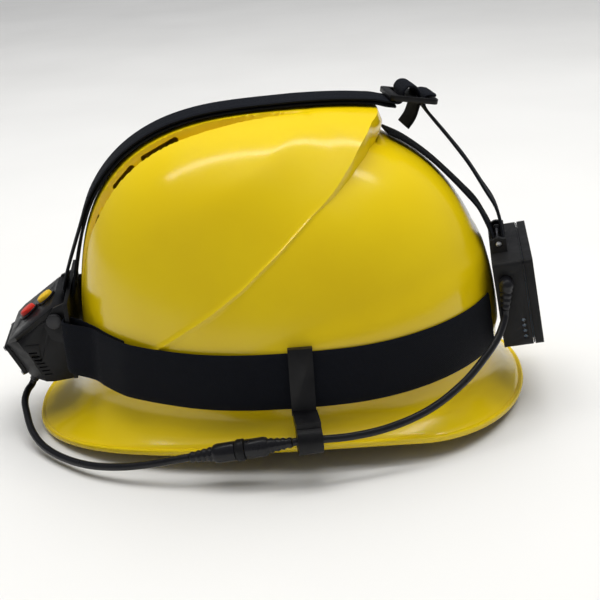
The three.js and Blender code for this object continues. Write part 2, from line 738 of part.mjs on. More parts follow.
addNode(
  part,
  "lamp_gland",
  shaped(glandRod(3.4, 1.5, 3.4, 3.1), [glandRod(2.1, -2, 1.8), glandRod(2.9, 3.2, 7.6, 2.4)]),
  BLACK_RUBBER,
);

// The plate on the shell with the strap slots, and the two ears that carry the lamp.
const plateThick = PLATE.back - PLATE.front;
const plateMiddle = (PLATE.back + PLATE.front) / 2;
const EAR = [[-122.6, 76], [-131, 72.8], [-137.6, 64], [-134.6, 55], [-122.6, 49]];
const ear = (side) => moved(profileSolid(EAR, 2.4), 0, side * (LAMP_WIDTH / 2 + 1.7), 0);
addNode(
  part,
  "lamp_bracket",
  shaped(
    box(plateThick, PLATE.half * 2, PLATE.high - PLATE.low, plateMiddle, 0, (PLATE.high + PLATE.low) / 2),
    [ear(-1), ear(1)],
    [
      ...[-1, 1].map((side) => box(9, SLOT.outer - SLOT.inner, 32, -122, (side * (SLOT.outer + SLOT.inner)) / 2, 53)),
      box(4, 26.4, SLOT.high - SLOT.low, plateMiddle, 0, (SLOT.high + SLOT.low) / 2),
      rod("y", BOLT_RADIUS + GAP, 70, P.x, 0, P.z, 16),
    ],
  ),
  BLACK_PLASTIC,
);
const earOuter = LAMP_WIDTH / 2 + 2.9;
addNode(
  part,
  "pivot_bolt",
  shaped(rod("y", BOLT_RADIUS, 2 * earOuter + 6.4, P.x, 0.6, P.z, 16), [
    rod("y", 4.2, 2.6, P.x, -(earOuter + GAP + 1.3), P.z, 20),
  ]),
  STEEL,
);
addNode(
  part,
  "pivot_nut",
  shaped(rod("y", 4.4, 3, P.x, earOuter + GAP + 1.5, P.z, 6), [], [rod("y", BOLT_RADIUS + GAP, 8, P.x, earOuter + 2, P.z, 16)]),
  STEEL,
);

// ---------------------------------------------------------------- cable clip
// Hooked over both edges of the band, with an open ring for the lead below.
const CLIP = onWall(rad(-98), 47.5, 0);
const CLIP_FRAME = frameAt(CLIP.at.toArray(), CLIP.side, CLIP.across);
const RING = { x: -4, y: -118.8, z: 22.8, outer: 6.8, inner: 3, length: 12.5 };
addNode(
  part,
  "cable_clip",
  shaped(
    put(CLIP_FRAME, box(12.5, 35.4, 2, 0, 0, 4)),
    [
      put(CLIP_FRAME, box(12.5, 1.9, 4, 0, 16.75, 3)),
      put(CLIP_FRAME, box(12.5, 1.9, 3.2, 0, -16.75, 3.4)),
      box(RING.length, 14, 5.4, RING.x, -111.9, 29.6),
      rod("x", RING.outer, RING.length, RING.x, RING.y, RING.z, 20),
    ],
    [rod("x", RING.inner, 20, RING.x, RING.y, RING.z, 16), box(20, 2.4, 9, RING.x, RING.y, RING.z - 5)],
  ),
  BLACK_PLASTIC,
);

// ---------------------------------------------------------------- lead and its connector
const PLUG_FROM = V(-64, -107.4, 15);
const PLUG_TO = V(-12.6, -118.2, 22.6);
const plugWay = PLUG_TO.clone().sub(PLUG_FROM).normalize();
const plugLength = PLUG_FROM.distanceTo(PLUG_TO);
const plugTurn = new THREE.Quaternion().setFromUnitVectors(V(0, 0, 1), plugWay);
const plugPiece = (profile) => turned(profile, 16).applyQuaternion(plugTurn).translate(...PLUG_FROM);
const half = plugLength / 2;
// A half of the connector: a ribbed boot that grows into a body.
const plugHalf = (sign) => {
  const end = sign < 0 ? 0 : plugLength;
  const z = (d) => end - sign * d;
  const profile = [[0, z(0)], [2.4, z(0)]];
  for (let i = 0; i < 4; i++) profile.push([2.8 + 0.35 * i, z(1.5 + 3 * i)], [2.3 + 0.4 * i, z(3 + 3 * i)]);
  profile.push([4.6, z(13)], [5, z(14.5)], [5, z(half - 2.6)], [0, z(half - 2.6)]);
  return sign < 0 ? profile : profile.reverse();
};
addNode(part, "connector_plug", plugPiece(plugHalf(-1)), BLACK_RUBBER);
addNode(part, "connector_socket", plugPiece(plugHalf(1)), BLACK_RUBBER);
addNode(
  part,
  "connector_lock_ring",
  plugPiece([[0, half - 2.3], [5.2, half - 2.3], [5.6, half - 1.6], [5.6, half + 1.6], [5.2, half + 2.3], [0, half + 2.3]]),
  BLACK_PLASTIC,
);

const leadFrontStart = along(GLAND.at, GLAND.way, 7.9);
addNode(
  part,
  "lead_front",
  tube(
    [
      leadFrontStart,
      along(GLAND.at, GLAND.way, 10.5),
      V(-154.4, -14.5, 19.2),
      V(-155.6, -22, 16.6),
      V(-154, -32, 13.4),
      V(-150.4, -45, 8.6),
      V(-144, -57, 5.2),
      V(-133, -71, 4.2),
      V(-117, -86, 5.4),
      V(-100, -96, 7.8),
      V(-84, -102, 10.8),
      along(PLUG_FROM, plugWay, -4),
      along(PLUG_FROM, plugWay, -0.3),
    ],
    LEAD_RADIUS,
    8,
    44,
  ),
  BLACK_RUBBER,
);

const GLAND_FACE = V(6, -PACK.width / 2, 14).applyMatrix4(PACK_FRAME);
const elbow = GLAND_FACE.clone().addScaledVector(sideways, -6);
const bootEnd = V(110.4, -73.4, 62.6);
const bootWay = bootEnd.clone().sub(elbow);
const bootLength = bootWay.length();
bootWay.normalize();
const bootTurn = new THREE.Quaternion().setFromUnitVectors(V(0, 0, 1), bootWay);
const bootProfile = [[0, 0], [3.5, 0], [3.5, 3]];
for (let i = 0; i < 3; i++) bootProfile.push([2.8 - 0.2 * i, 3.8 + 3 * i], [3.4 - 0.3 * i, 5.2 + 3 * i]);
bootProfile.push([2.4, bootLength], [0, bootLength]);
addNode(
  part,
  "battery_gland",
  shaped(
    turned(bootProfile, 16).applyQuaternion(bootTurn).translate(...elbow),
    [
      new THREE.SphereGeometry(3.9, 14, 10).translate(...elbow),
      put(PACK_FRAME, rod("y", 3.6, 5.6, 6, -PACK.width / 2 - 3.1, 14, 14)),
      put(PACK_FRAME, rod("y", 2.1, 3.4, 6, -PACK.width / 2 + 0.9, 14, 12)),
    ],
  ),
  BLACK_RUBBER,
);
addNode(
  part,
  "lead_rear",
  tube(
    [
      along(PLUG_TO, plugWay, 0.3),
      along(PLUG_TO, plugWay, 3),
      V(-4, -119, 23),
      V(6.2, -118.8, 22.5),
      V(16.4, -118, 21.9),
      V(33.7, -116, 22.6),
      V(51.7, -112, 25.4),
      V(66.3, -106, 29),
      V(81.8, -98, 35.6),
      V(92.4, -91, 42),
      V(103.4, -82.4, 50.2),
      along(bootEnd, bootWay, 4.5),
      along(bootEnd, bootWay, 0.35),
    ],
    LEAD_RADIUS,
    8,
    44,
  ),
  BLACK_RUBBER,
);

// ---------------------------------------------------------------- suspension inside the shell
const H = HEADBAND;
const headMiddle = (H.low + H.high) / 2;
const fuller = (v) => Math.sign(v) * Math.abs(v) ** 0.8;
const oval = (turn, inset = 0) =>
  V((H.half_x - inset) * fuller(Math.cos(turn)), (H.half_y - inset) * fuller(Math.sin(turn)), headMiddle);
function hoop(fromDegrees, toDegrees, inset, height, thickness, steps) {
  const frames = [];
  for (let i = 0; i <= steps; i++) {
    const turn = rad(fromDegrees + ((toDegrees - fromDegrees) * i) / steps);
    const out = oval(turn + 0.02).sub(oval(turn - 0.02)).cross(V(0, 0, 1));
    frames.push({ at: oval(turn, inset), across: V(0, 0, 1), out });
  }
  return ribbon(frames, height, thickness);
}
addNode(part, "headband", hoop(16.5, 343.5, 0, H.high - H.low, H.wall, 44), GREY_PLASTIC);
addNode(part, "sweatband", hoop(122, 238, 3.2, H.high - H.low + 4, 4, 18), FOAM);

const KEY_TURNS = [40, 138, 222, 320];
KEY_TURNS.forEach((degrees, i) => {
  const turn = rad(degrees);
  const inner = oval(turn);
  const out = oval(turn + 0.02).sub(oval(turn - 0.02)).cross(V(0, 0, 1)).normalize();
  const frame = frameAt([inner.x, inner.y, 0], out, out.clone().cross(V(0, 0, -1)));
  addNode(
    part,
    `suspension_key_${i + 1}`,
    put(frame, shaped(box(2.6, 24, 36, 2.6, 0, 29), [box(9, 12, 10, 8, 0, 38)])),
    GREY_PLASTIC,
  );
});
const crownZ = DOME_FOOT_Z + CREST_HEIGHT - CROWN_CLEARANCE;
[0, 1].forEach((i) => {
  const top = crownZ - i * 2.2;
  const [from, to] = i === 0 ? [KEY_TURNS[0], KEY_TURNS[2]] : [KEY_TURNS[1], KEY_TURNS[3]];
  const ends = [from, to].map((degrees) => oval(rad(degrees), 3.4).setZ(0));
  const across = ends[1].clone().sub(ends[0]).cross(V(0, 0, 1)).normalize();
  const stations = [];
  for (let k = 0; k <= 12; k++) {
    const a = (Math.PI * k) / 12;
    const share = Math.cos(a);
    const bulge = Math.sign(share) * Math.abs(share) ** 0.8;
    const at = ends[0].clone().lerp(ends[1], (1 - bulge) / 2);
    at.z = 41.5 + (top - 41.5) * Math.sin(a) ** 0.8;
    stations.push({ at, across });
  }
  addNode(part, `crown_strap_${i + 1}`, strap(stations, 18, 2, 1.2), FOAM);
});

// The ratchet at the nape: two toothed ends slide in the housing when the knob turns.
const RATCHET = { x: 97, z: headMiddle };
const R = RATCHET;
addNode(
  part,
  "ratchet_housing",
  shaped(box(10.4, 48, 22, R.x, 0, R.z), [], [
    box(5, 70, 15, R.x, 0, R.z),
    rod("x", 3.1, 14, R.x + 5, 0, R.z, 20),
  ]),
  GREY_PLASTIC,
);
const rack = (side) =>
  shaped(
    box(1.5, 46, 13.4, R.x - side * 1.1, side * 12, R.z),
    [],
    [box(6, 26, 6.8, R.x, side * 4.5, R.z)],
  );
addNode(part, "nape_rack_left", rack(-1), GREY_PLASTIC);
addNode(part, "nape_rack_right", rack(1), GREY_PLASTIC);
addNode(
  part,
  "ratchet_knob",
  shaped(
    rod("x", 13, 8, R.x + 9.6, 0, R.z, 24),
    [rod("x", 2.7, 9, R.x + 2.6, 0, R.z, 16)],
    [0, 45, 90, 135, 180, 225, 270, 315].map((a) =>
      rod("x", 2.4, 12, R.x + 9.6, 14 * Math.cos(rad(a)), R.z + 14 * Math.sin(rad(a)), 10),
    ),
  ),
  BLACK_PLASTIC,
);

export default part;
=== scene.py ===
"""The looks of the miner's cap lamp on its safety helmet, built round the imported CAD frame.

Lengths below are millimetres in the frame's own axes, turned to metres where a mesh is made:
+Z up, -X the wearer's front, -Y the wearer's left, the origin in the middle of the head opening.
"""

import json
import math

import bmesh
import bpy
import numpy as np
from mathutils import Matrix, Vector

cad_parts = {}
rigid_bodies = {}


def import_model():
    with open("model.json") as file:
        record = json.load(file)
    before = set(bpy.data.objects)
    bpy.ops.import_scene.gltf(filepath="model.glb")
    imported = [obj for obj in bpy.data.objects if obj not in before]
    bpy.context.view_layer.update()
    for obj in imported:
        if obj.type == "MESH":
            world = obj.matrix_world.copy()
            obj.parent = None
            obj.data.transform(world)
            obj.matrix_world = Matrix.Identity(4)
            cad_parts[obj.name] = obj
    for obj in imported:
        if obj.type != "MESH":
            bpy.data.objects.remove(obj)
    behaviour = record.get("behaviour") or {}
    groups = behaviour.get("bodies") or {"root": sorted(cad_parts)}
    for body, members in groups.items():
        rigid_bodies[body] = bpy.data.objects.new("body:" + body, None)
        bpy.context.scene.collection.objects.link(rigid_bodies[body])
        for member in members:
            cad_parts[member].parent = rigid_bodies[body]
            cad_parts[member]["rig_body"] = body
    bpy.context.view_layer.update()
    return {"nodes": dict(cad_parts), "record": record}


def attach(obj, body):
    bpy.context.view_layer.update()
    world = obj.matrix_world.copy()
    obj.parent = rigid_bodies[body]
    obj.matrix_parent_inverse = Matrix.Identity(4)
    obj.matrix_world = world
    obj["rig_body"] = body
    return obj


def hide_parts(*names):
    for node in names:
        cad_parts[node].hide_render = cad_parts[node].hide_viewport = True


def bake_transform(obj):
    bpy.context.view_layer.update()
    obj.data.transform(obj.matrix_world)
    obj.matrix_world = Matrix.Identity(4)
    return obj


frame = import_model()
NODES = frame["nodes"]
MM = 0.001
ACROSS_Y, UP = np.array([0.0, 1.0, 0.0]), np.array([0.0, 0.0, 1.0])


def link(obj):
    bpy.context.scene.collection.objects.link(obj)
    return obj


# ---------------------------------------------------------------- camera
TARGET = np.array([8.36, 0.0, 52.35])
TURN, RISE, ROLL = math.radians(6), math.radians(21.277), math.radians(-3.827)
DISTANCE, SENSOR_MM, LENS_MM, SHIFT_Y = 620.0, 36.0, 62.61, -0.0025
NEAR_M, FAR_M = 0.01, 30.0


def make_camera():
    back = np.array([-math.sin(TURN) * math.cos(RISE), -math.cos(TURN) * math.cos(RISE), math.sin(RISE)])
    level = np.array([math.cos(TURN), -math.sin(TURN), 0.0])
    right = level * math.cos(ROLL) + np.cross(back, level) * math.sin(ROLL)
    up = np.cross(back, right)
    data = bpy.data.cameras.new("camera")
    data.sensor_width, data.lens, data.shift_y = SENSOR_MM, LENS_MM, SHIFT_Y
    data.clip_start, data.clip_end = NEAR_M, FAR_M
    cam = link(bpy.data.objects.new("camera", data))
    rows = [[right[i], up[i], back[i], (TARGET + DISTANCE * back)[i] * MM] for i in range(3)]
    cam.matrix_world = Matrix(rows + [[0, 0, 0, 1]])
    bpy.context.scene.camera = cam


make_camera()


# ---------------------------------------------------------------- materials
class Nodes:
    """A material's node tree, with short calls for the few kinds of node used here."""

    def __init__(self, name):
        self.material = bpy.data.materials.new(name)
        self.material.use_nodes = True
        self.tree = self.material.node_tree
        self.shader = self.tree.nodes["Principled BSDF"]
        self.where = self.add("ShaderNodeTexCoord").outputs["Object"]

    def add(self, kind, **settings):
        node = self.tree.nodes.new(kind)
        for key, value in settings.items():
            setattr(node, key, value)
        return node

    def feed(self, node, socket, value):
        if hasattr(value, "is_output"):
            self.tree.links.new(value, node.inputs[socket])
        else:
            node.inputs[socket].default_value = value

    def noise(self, scale, detail=3.0, roughness=0.55):
        n = self.add("ShaderNodeTexNoise")
        self.feed(n, "Vector", self.where)
        self.feed(n, "Scale", scale)
        self.feed(n, "Detail", detail)
        self.feed(n, "Roughness", roughness)
        return n.outputs["Fac"]

    def math(self, operation, a, b=0.0, c=0.0):
        n = self.add("ShaderNodeMath", operation=operation)
        for i, value in enumerate((a, b, c)):
            self.feed(n, i, value)
        return n.outputs[0]

    def span(self, value, low, high, to_low, to_high):
        n = self.add("ShaderNodeMapRange")
        sockets = ("Value", "From Min", "From Max", "To Min", "To Max")
        for socket, v in zip(sockets, (value, low, high, to_low, to_high)):
            self.feed(n, socket, v)
        return n.outputs[0]

    def blend(self, share, a, b):
        n = self.add("ShaderNodeMix", data_type="RGBA")
        self.feed(n, 0, share)
        self.feed(n, 6, a)
        self.feed(n, 7, b)
        return n.outputs[2]

    def bump(self, height, distance, strength=1.0, under=None):
        n = self.add("ShaderNodeBump")
        self.feed(n, "Strength", strength)
        self.feed(n, "Distance", distance)
        self.feed(n, "Height", height)
        if under is not None:
            self.feed(n, "Normal", under)
        return n.outputs[0]


def rgb(r, g, b):
    return (r, g, b, 1.0)


CLEAR_SPECULAR, PLASTIC_SPECULAR = 0.5, 0.22


def moulded(
    name, light, dark, rough=(0.3, 0.45), grain=(2500, 0.00002), cloud=60,
    metal=0.0, coat=0.0, clear=0.0, ior=1.5,
):
    """A moulded or machined surface: cloudy colour, uneven gloss, and a grain of (scale, height)."""
    n = Nodes(name)
    n.feed(n.shader, "Base Color", n.blend(n.span(n.noise(cloud), 0.35, 0.65, 0, 1), light, dark))
    n.feed(n.shader, "Roughness", n.span(n.noise(cloud * 2.5, 5), 0.3, 0.7, *rough))
    n.feed(n.shader, "Metallic", metal)
    n.feed(n.shader, "IOR", ior)
    n.feed(n.shader, "Coat Weight", coat)
    n.feed(n.shader, "Transmission Weight", clear)
    n.feed(n.shader, "Specular IOR Level", CLEAR_SPECULAR if metal or clear else PLASTIC_SPECULAR)
    broad = n.bump(n.noise(cloud * 0.6, 2), 0.0002, 0.5)
    n.feed(n.shader, "Normal", n.bump(n.noise(grain[0], 2), grain[1], 1.0, broad))
    return n.material


def helmet_finish():
    """Glossy yellow shell plastic with faint flow, handling marks and dust."""
    n = Nodes("helmet_plastic")
    cloud = n.span(n.noise(14, 2), 0.35, 0.65, 0, 1)
    base = n.blend(cloud, rgb(0.84, 0.61, 0.004), rgb(0.80, 0.565, 0.003))
    n.feed(n.shader, "Base Color", base)
    n.feed(n.shader, "Roughness", n.span(n.noise(90, 6, 0.7), 0.35, 0.7, 0.15, 0.23))
    n.feed(n.shader, "IOR", 1.54)
    n.feed(n.shader, "Specular IOR Level", 0.42)
    wavy = n.bump(n.noise(22, 2), 0.0004, 0.35)
    n.feed(n.shader, "Normal", n.bump(n.noise(1400, 3), 0.000012, 1.0, wavy))
    return n.material


WEAVE_DEPTH, WEAVE_ROUGH = 0.00016, (0.62, 0.85)


def woven(name, light, dark, rib=1.15, pick=0.85):
    """Woven webbing: ribs along its length crossed by weft picks, read from its weave lengths."""
    n = Nodes(name)
    place = n.add("ShaderNodeAttribute", attribute_name="weave").outputs["Vector"]
    parts = n.add("ShaderNodeSeparateXYZ")
    n.feed(parts, 0, place)
    along, across = parts.outputs[0], parts.outputs[1]
    ribs = n.math("SINE", n.math("MULTIPLY", across, 2 * math.pi / (rib * MM)))
    flip = n.math("MULTIPLY", n.math("SIGN", ribs), math.pi / 2)
    picks = n.math("SINE", n.math("ADD", n.math("MULTIPLY", along, 2 * math.pi / (pick * MM)), flip))
    rib_height = n.math("MULTIPLY", n.math("ABSOLUTE", ribs), 0.55)
    height = n.math("ADD", rib_height, n.math("MULTIPLY", picks, 0.45))
    fuzz = n.noise(900, 4, 0.7)
    # The colour follows the weave's height: the valleys between ribs and picks are painted darker as shade,
    # the raised ribs lighter as painted highlight, and the fuzz adds a random tone.
    share = n.math("ADD", n.span(height, -0.45, 1, 0, 0.75), n.span(fuzz, 0.4, 0.7, 0, 0.3))
    n.feed(n.shader, "Base Color", n.blend(share, dark, light))
    n.feed(n.shader, "Roughness", n.span(fuzz, 0.3, 0.7, *WEAVE_ROUGH))
    n.feed(n.shader, "Sheen Weight", 0.02)
    n.feed(n.shader, "Specular IOR Level", 0.1)
    n.feed(n.shader, "Sheen Roughness", 0.4)
    n.feed(n.shader, "Normal", n.bump(fuzz, 0.00008, 0.6, n.bump(height, WEAVE_DEPTH, 0.9)))
    return n.material


def foam_finish():
    """Cloth-faced foam, with a fine open cell."""
    n = Nodes("foam_cloth")
    cells = n.add("ShaderNodeTexVoronoi")
    n.feed(cells, "Vector", n.where)
    n.feed(cells, "Scale", 900)
    # The colour follows the cells: their sunken pits are painted darker as shade in them, and the cell walls
    # between them are lighter.
    share = n.span(cells.outputs["Distance"], 0, 0.6, 0, 1)
    n.feed(n.shader, "Base Color", n.blend(share, rgb(0.012, 0.012, 0.013), rgb(0.05, 0.05, 0.055)))
    n.feed(n.shader, "Roughness", n.span(n.noise(300), 0.3, 0.7, 0.8, 0.95))
    n.feed(n.shader, "Sheen Weight", 0.3)
    n.feed(n.shader, "Normal", n.bump(cells.outputs["Distance"], 0.0003, 0.8))
    return n.material


def board_finish():
    """Green solder resist with a pattern of tracks under it."""
    n = Nodes("circuit_board")
    tracks = n.add("ShaderNodeTexBrick")
    n.feed(tracks, "Vector", n.where)
    n.feed(tracks, "Scale", 180)
    n.feed(tracks, "Mortar Size", 0.03)
    base = n.blend(tracks.outputs["Fac"], rgb(0.01, 0.11, 0.03), rgb(0.03, 0.22, 0.07))
    n.feed(n.shader, "Base Color", base)
    n.feed(n.shader, "Roughness", n.span(n.noise(400), 0.3, 0.7, 0.3, 0.5))
    n.feed(n.shader, "Normal", n.bump(tracks.outputs["Fac"], 0.00005))
    return n.material


FINISH = {
    "helmet_abs": helmet_finish(),
    "black_plastic": moulded(
        "black_plastic", rgb(0.010, 0.010, 0.011), rgb(0.005, 0.005, 0.006), (0.3, 0.5), (3200, 0.00003),
    ),
    "black_rubber": moulded(
        "black_rubber", rgb(0.010, 0.010, 0.012), rgb(0.006, 0.006, 0.008), (0.26, 0.42), (1500, 0.00002),
        coat=0.2,
    ),
    "webbing": woven("black_webbing", rgb(0.010, 0.012, 0.018), rgb(0.0015, 0.0015, 0.0025)),
    "crown_webbing": woven("grey_webbing", rgb(0.10, 0.10, 0.105), rgb(0.03, 0.03, 0.033), 1.4, 1.0),
    "steel": moulded(
        "steel", rgb(0.55, 0.55, 0.56), rgb(0.42, 0.42, 0.44), (0.22, 0.4), (2000, 0.00001), metal=1.0,
    ),
    "aluminium": moulded(
        "aluminium", rgb(0.10, 0.10, 0.105), rgb(0.06, 0.06, 0.065), (0.35, 0.5), (2600, 0.00002), metal=0.9,
    ),
    "clear": moulded(
        "clear_plastic", rgb(0.93, 0.95, 0.97), rgb(0.90, 0.93, 0.95), (0.02, 0.06), (200, 0.000002),
        clear=1.0, ior=1.49,
    ),
    "mirror": moulded(
        "mirror", rgb(0.9, 0.9, 0.91), rgb(0.85, 0.85, 0.87), (0.04, 0.1), (900, 0.00001), metal=1.0,
    ),
    "board": board_finish(),
    "cell_wrap": moulded(
        "cell_wrap", rgb(0.03, 0.19, 0.36), rgb(0.02, 0.14, 0.30), (0.25, 0.35), (500, 0.00001),
    ),
    "red": moulded(
        "red_rubber", rgb(0.62, 0.035, 0.02), rgb(0.48, 0.02, 0.012), (0.35, 0.5), (1800, 0.00003),
    ),
    "amber": moulded(
        "amber_rubber", rgb(0.78, 0.50, 0.02), rgb(0.66, 0.40, 0.012), (0.35, 0.5), (1800, 0.00003),
    ),
    "grey_plastic": moulded(
        "grey_plastic", rgb(0.075, 0.08, 0.085), rgb(0.05, 0.053, 0.058), (0.4, 0.6), (2800, 0.00003),
    ),
    "foam": foam_finish(),
}
CASE_FINISH = moulded(
    "case_plastic", rgb(0.014, 0.014, 0.015), rgb(0.009, 0.009, 0.010), (0.42, 0.6), (2400, 0.00008),
)

SLOT_OF = {s["node"]: s["material_slot"] for s in frame["record"]["subparts"]}


def paint(obj, slot_name, material=None):
    obj.data.materials.clear()
    obj.data.materials.append(material or FINISH[slot_name])


for cad_name, cad_node in NODES.items():
    paint(cad_node, SLOT_OF[cad_name])


# ---------------------------------------------------------------- mesh helpers
WELD_M, CAD_WELD_M = 2e-6, 2e-5
MOULDED_SHARP, BEVEL_SEGMENTS, FLAT_WITHIN = 38, 2, 1.2


def unit(v):
    v = np.asarray(v, float)
    return v / np.maximum(np.linalg.norm(v, axis=-1, keepdims=True), 1e-12)


def smooth_with_edges(data, degrees):
    data.shade_smooth()
    data.set_sharp_from_angle(angle=math.radians(degrees))


def piece(name, verts, faces, slot_name, body, sharp=40, weave=None):
    """A mesh object from millimetre points, smooth shaded with sharp edges over an angle."""
    data = bpy.data.meshes.new(name)
    data.from_pydata([tuple(float(c) * MM for c in v) for v in verts], [], [list(map(int, f)) for f in faces])
    if weave is not None:
        layer = data.attributes.new("weave", "FLOAT_VECTOR", "POINT")
        layer.data.foreach_set("vector", (np.asarray(weave, float) * MM).astype(np.float32).ravel())
    return dress(name, data, slot_name, body, sharp)


def dress(name, data, slot_name, body, sharp, material=None):
    """An object of that mesh, welded, facing out, painted, and on its body if it has one."""
    bm = bmesh.new()
    bm.from_mesh(data)
    bmesh.ops.remove_doubles(bm, verts=bm.verts, dist=WELD_M)
    bmesh.ops.recalc_face_normals(bm, faces=bm.faces)
    bm.to_mesh(data)
    bm.free()
    smooth_with_edges(data, sharp)
    obj = link(bpy.data.objects.new(name, data))
    paint(obj, slot_name, material)
    if body:
        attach(obj, body)
    return obj


def applied(obj):
    """Puts the mesh that obj has once its modifiers have run in their place."""
    view = bpy.context.evaluated_depsgraph_get()
    made = bpy.data.meshes.new_from_object(obj.evaluated_get(view))
    obj.modifiers.clear()
    obj.data = made


def polished(node, bevel, material=None):
    """A moulded version of a CAD node: the same solid with its edges rounded."""
    source = NODES[node]
    data = source.data.copy()
    bm = bmesh.new()
    bm.from_mesh(data)
    bmesh.ops.remove_doubles(bm, verts=bm.verts, dist=CAD_WELD_M)
    bmesh.ops.dissolve_limit(bm, angle_limit=math.radians(FLAT_WITHIN), verts=bm.verts, edges=bm.edges)
    bm.to_mesh(data)
    bm.free()
    obj = dress(node + "_moulded", data, SLOT_OF[node], None, MOULDED_SHARP, material)
    m = obj.modifiers.new("edges", "BEVEL")
    m.width, m.segments, m.limit_method = bevel * MM, BEVEL_SEGMENTS, "ANGLE"
    m.angle_limit = math.radians(MOULDED_SHARP)
    m.use_clamp_overlap = True
    applied(obj)
    smooth_with_edges(obj.data, MOULDED_SHARP)
    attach(obj, source["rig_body"])
    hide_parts(node)
    return obj


def loft_faces(rows, columns, closed=False):
    """Quads between closed rows of points; the last row may join the first."""
    faces = []
    for i in range(rows if closed else rows - 1):
        a, b = i * columns, (i + 1) % rows * columns
        for j in range(columns):
            k = (j + 1) % columns
            faces.append((a + j, a + k, b + k, b + j))
    return faces


def capped_loft(rows, columns):
    """Quads between closed rows of points, with a face over each end."""
    ends = [tuple(range(columns - 1, -1, -1)), tuple(range((rows - 1) * columns, rows * columns))]
    return loft_faces(rows, columns) + ends


def catmull(points, per_span):
    """A smooth centripetal curve through points, and its tangents."""
    p = np.asarray(points, float)
    p = np.vstack([2 * p[0] - p[1], p, 2 * p[-1] - p[-2]])
    out = []
    for i in range(1, len(p) - 2):
        gaps = [float(np.sum((p[i + k] - p[i + k - 1]) ** 2)) ** 0.25 for k in (0, 1, 2)]
        d0, d1, d2 = (max(gap, 1e-4) for gap in gaps)
        t1 = ((p[i] - p[i - 1]) / d0 - (p[i + 1] - p[i - 1]) / (d0 + d1) + (p[i + 1] - p[i]) / d1) * d1
        t2 = ((p[i + 1] - p[i]) / d1 - (p[i + 2] - p[i]) / (d1 + d2) + (p[i + 2] - p[i + 1]) / d2) * d1
        last = i == len(p) - 3
        for s in range(per_span + (1 if last else 0)):
            t = s / per_span
            c2, c3 = -3 * p[i] + 3 * p[i + 1] - 2 * t1 - t2, 2 * p[i] - 2 * p[i + 1] + t1 + t2
            out.append(p[i] + t1 * t + c2 * t * t + c3 * t ** 3)
    out = np.array(out)
    return out, unit(np.gradient(out, axis=0))


WEBBING_PER_SPAN, ROUTED_SHARP = 8, 60
TUBE_SIDES, TUBE_PER_SPAN = 20, 10


def webbing(name, stations, width, thickness, node, slot_name="webbing"):
    """A woven strap through stations (point, direction across), with thinner selvedges."""
    points = np.array([s[0] for s in stations], float)
    acrosses = unit([s[1] for s in stations])
    line, tangent = catmull(points, WEBBING_PER_SPAN)
    t = np.linspace(0, len(points) - 1, len(line))
    across = unit(np.column_stack([np.interp(t, range(len(points)), acrosses[:, k]) for k in range(3)]))
    out = unit(np.cross(tangent, across))
    run = np.concatenate([[0], np.cumsum(np.linalg.norm(np.diff(line, axis=0), axis=1))])
    steps = np.linspace(-1, 1, 17)
    edge = np.abs(steps)
    thick = thickness / 2 * np.where(edge > 0.985, 0.35, np.where(edge > 0.86, 0.92, 1.0))
    thick = thick * (1 + 0.05 * np.cos(steps * math.pi * 2))
    loop = [(s, h) for s, h in zip(steps, thick)] + [(s, -h) for s, h in zip(steps[::-1], thick[::-1])]
    verts, weave = [], []
    for i in range(len(line)):
        for s, h in loop:
            verts.append(line[i] + across[i] * s * width / 2 + out[i] * h)
            weave.append((run[i], s * width / 2, 0))
    obj = piece(name, verts, capped_loft(len(line), len(loop)), slot_name, "helmet", ROUTED_SHARP, weave)
    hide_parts(node)
    return obj


def tube(name, points, radius, node, body="helmet"):
    line, tangent = catmull(points, TUBE_PER_SPAN)
    turns = [2 * math.pi * k / TUBE_SIDES for k in range(TUBE_SIDES)]
    ring = [(math.cos(a), math.sin(a)) for a in turns]
    side = unit(np.cross(tangent[0], (0.3, 0.2, 1)))
    verts = []
    for p, t in zip(line, tangent):
        side = unit(side - t * np.dot(side, t))
        other = np.cross(t, side)
        verts += [p + radius * (c * side + s * other) for c, s in ring]
    obj = piece(name, verts, capped_loft(len(line), TUBE_SIDES), "black_rubber", None, ROUTED_SHARP)
    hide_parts(node)
    if body:
        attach(obj, body)
    return obj


# ---------------------------------------------------------------- helmet shape
AXIS_X, DOME_FOOT_Z = 10.0, 18.0
DOME_PLAN = {"middle": 20, "front": 139.2, "rear": 103.5, "half": 101, "powers": (2.2, 2.05)}
BRIM_PLAN = {"middle": 56.7, "front": 206.7, "rear": 83.3, "half": 112.2, "powers": (2.28, 1.8)}
REAR_HEIGHT, CREST_HEIGHT, CREST_OVERHANG, SHELL_WALL = 139.6, 149.5, 62.0, 2.8
BRIM_ARCH, BRIM_MIDDLE_X, BRIM_HALF_LENGTH = 11.1, -5.0, 145.0
# The step across the sides: (degrees from the rear, degrees of rise or share) along it.
STEP_FOOT = [
    (0, 68.9), (15, 68.5), (41, 66.8), (53, 63.8), (63, 60.3), (69, 57.3), (74, 54.8), (78, 52.5),
    (84.5, 48.9), (90, 46), (93, 43.9), (98, 40.2), (102.4, 36.6), (106.5, 33.4), (110.5, 30.2),
    (114, 27.1), (118, 24.2), (123, 20.5), (129, 16.6), (134.5, 13.2), (152, 4), (162, 0), (180, 0),
]
STEP_TOP_EXTRA = [
    (0, 9), (15, 8.6), (32, 7.2), (48, 5.3), (57, 3.8), (64, 2.5), (69, 1.6), (74, 0.9), (80, 0.3),
    (90, 0), (180, 0),
]
STEP_SIZE = [(0, 1), (40, 1), (60, 0.85), (75, 0.45), (88, 0.12), (97, 0), (180, 0)]
CREST_SPREAD = 30
FARTHEST, HALVINGS = 230.0, 36


def straight(table, at):
    return float(np.interp(at, *zip(*table)))


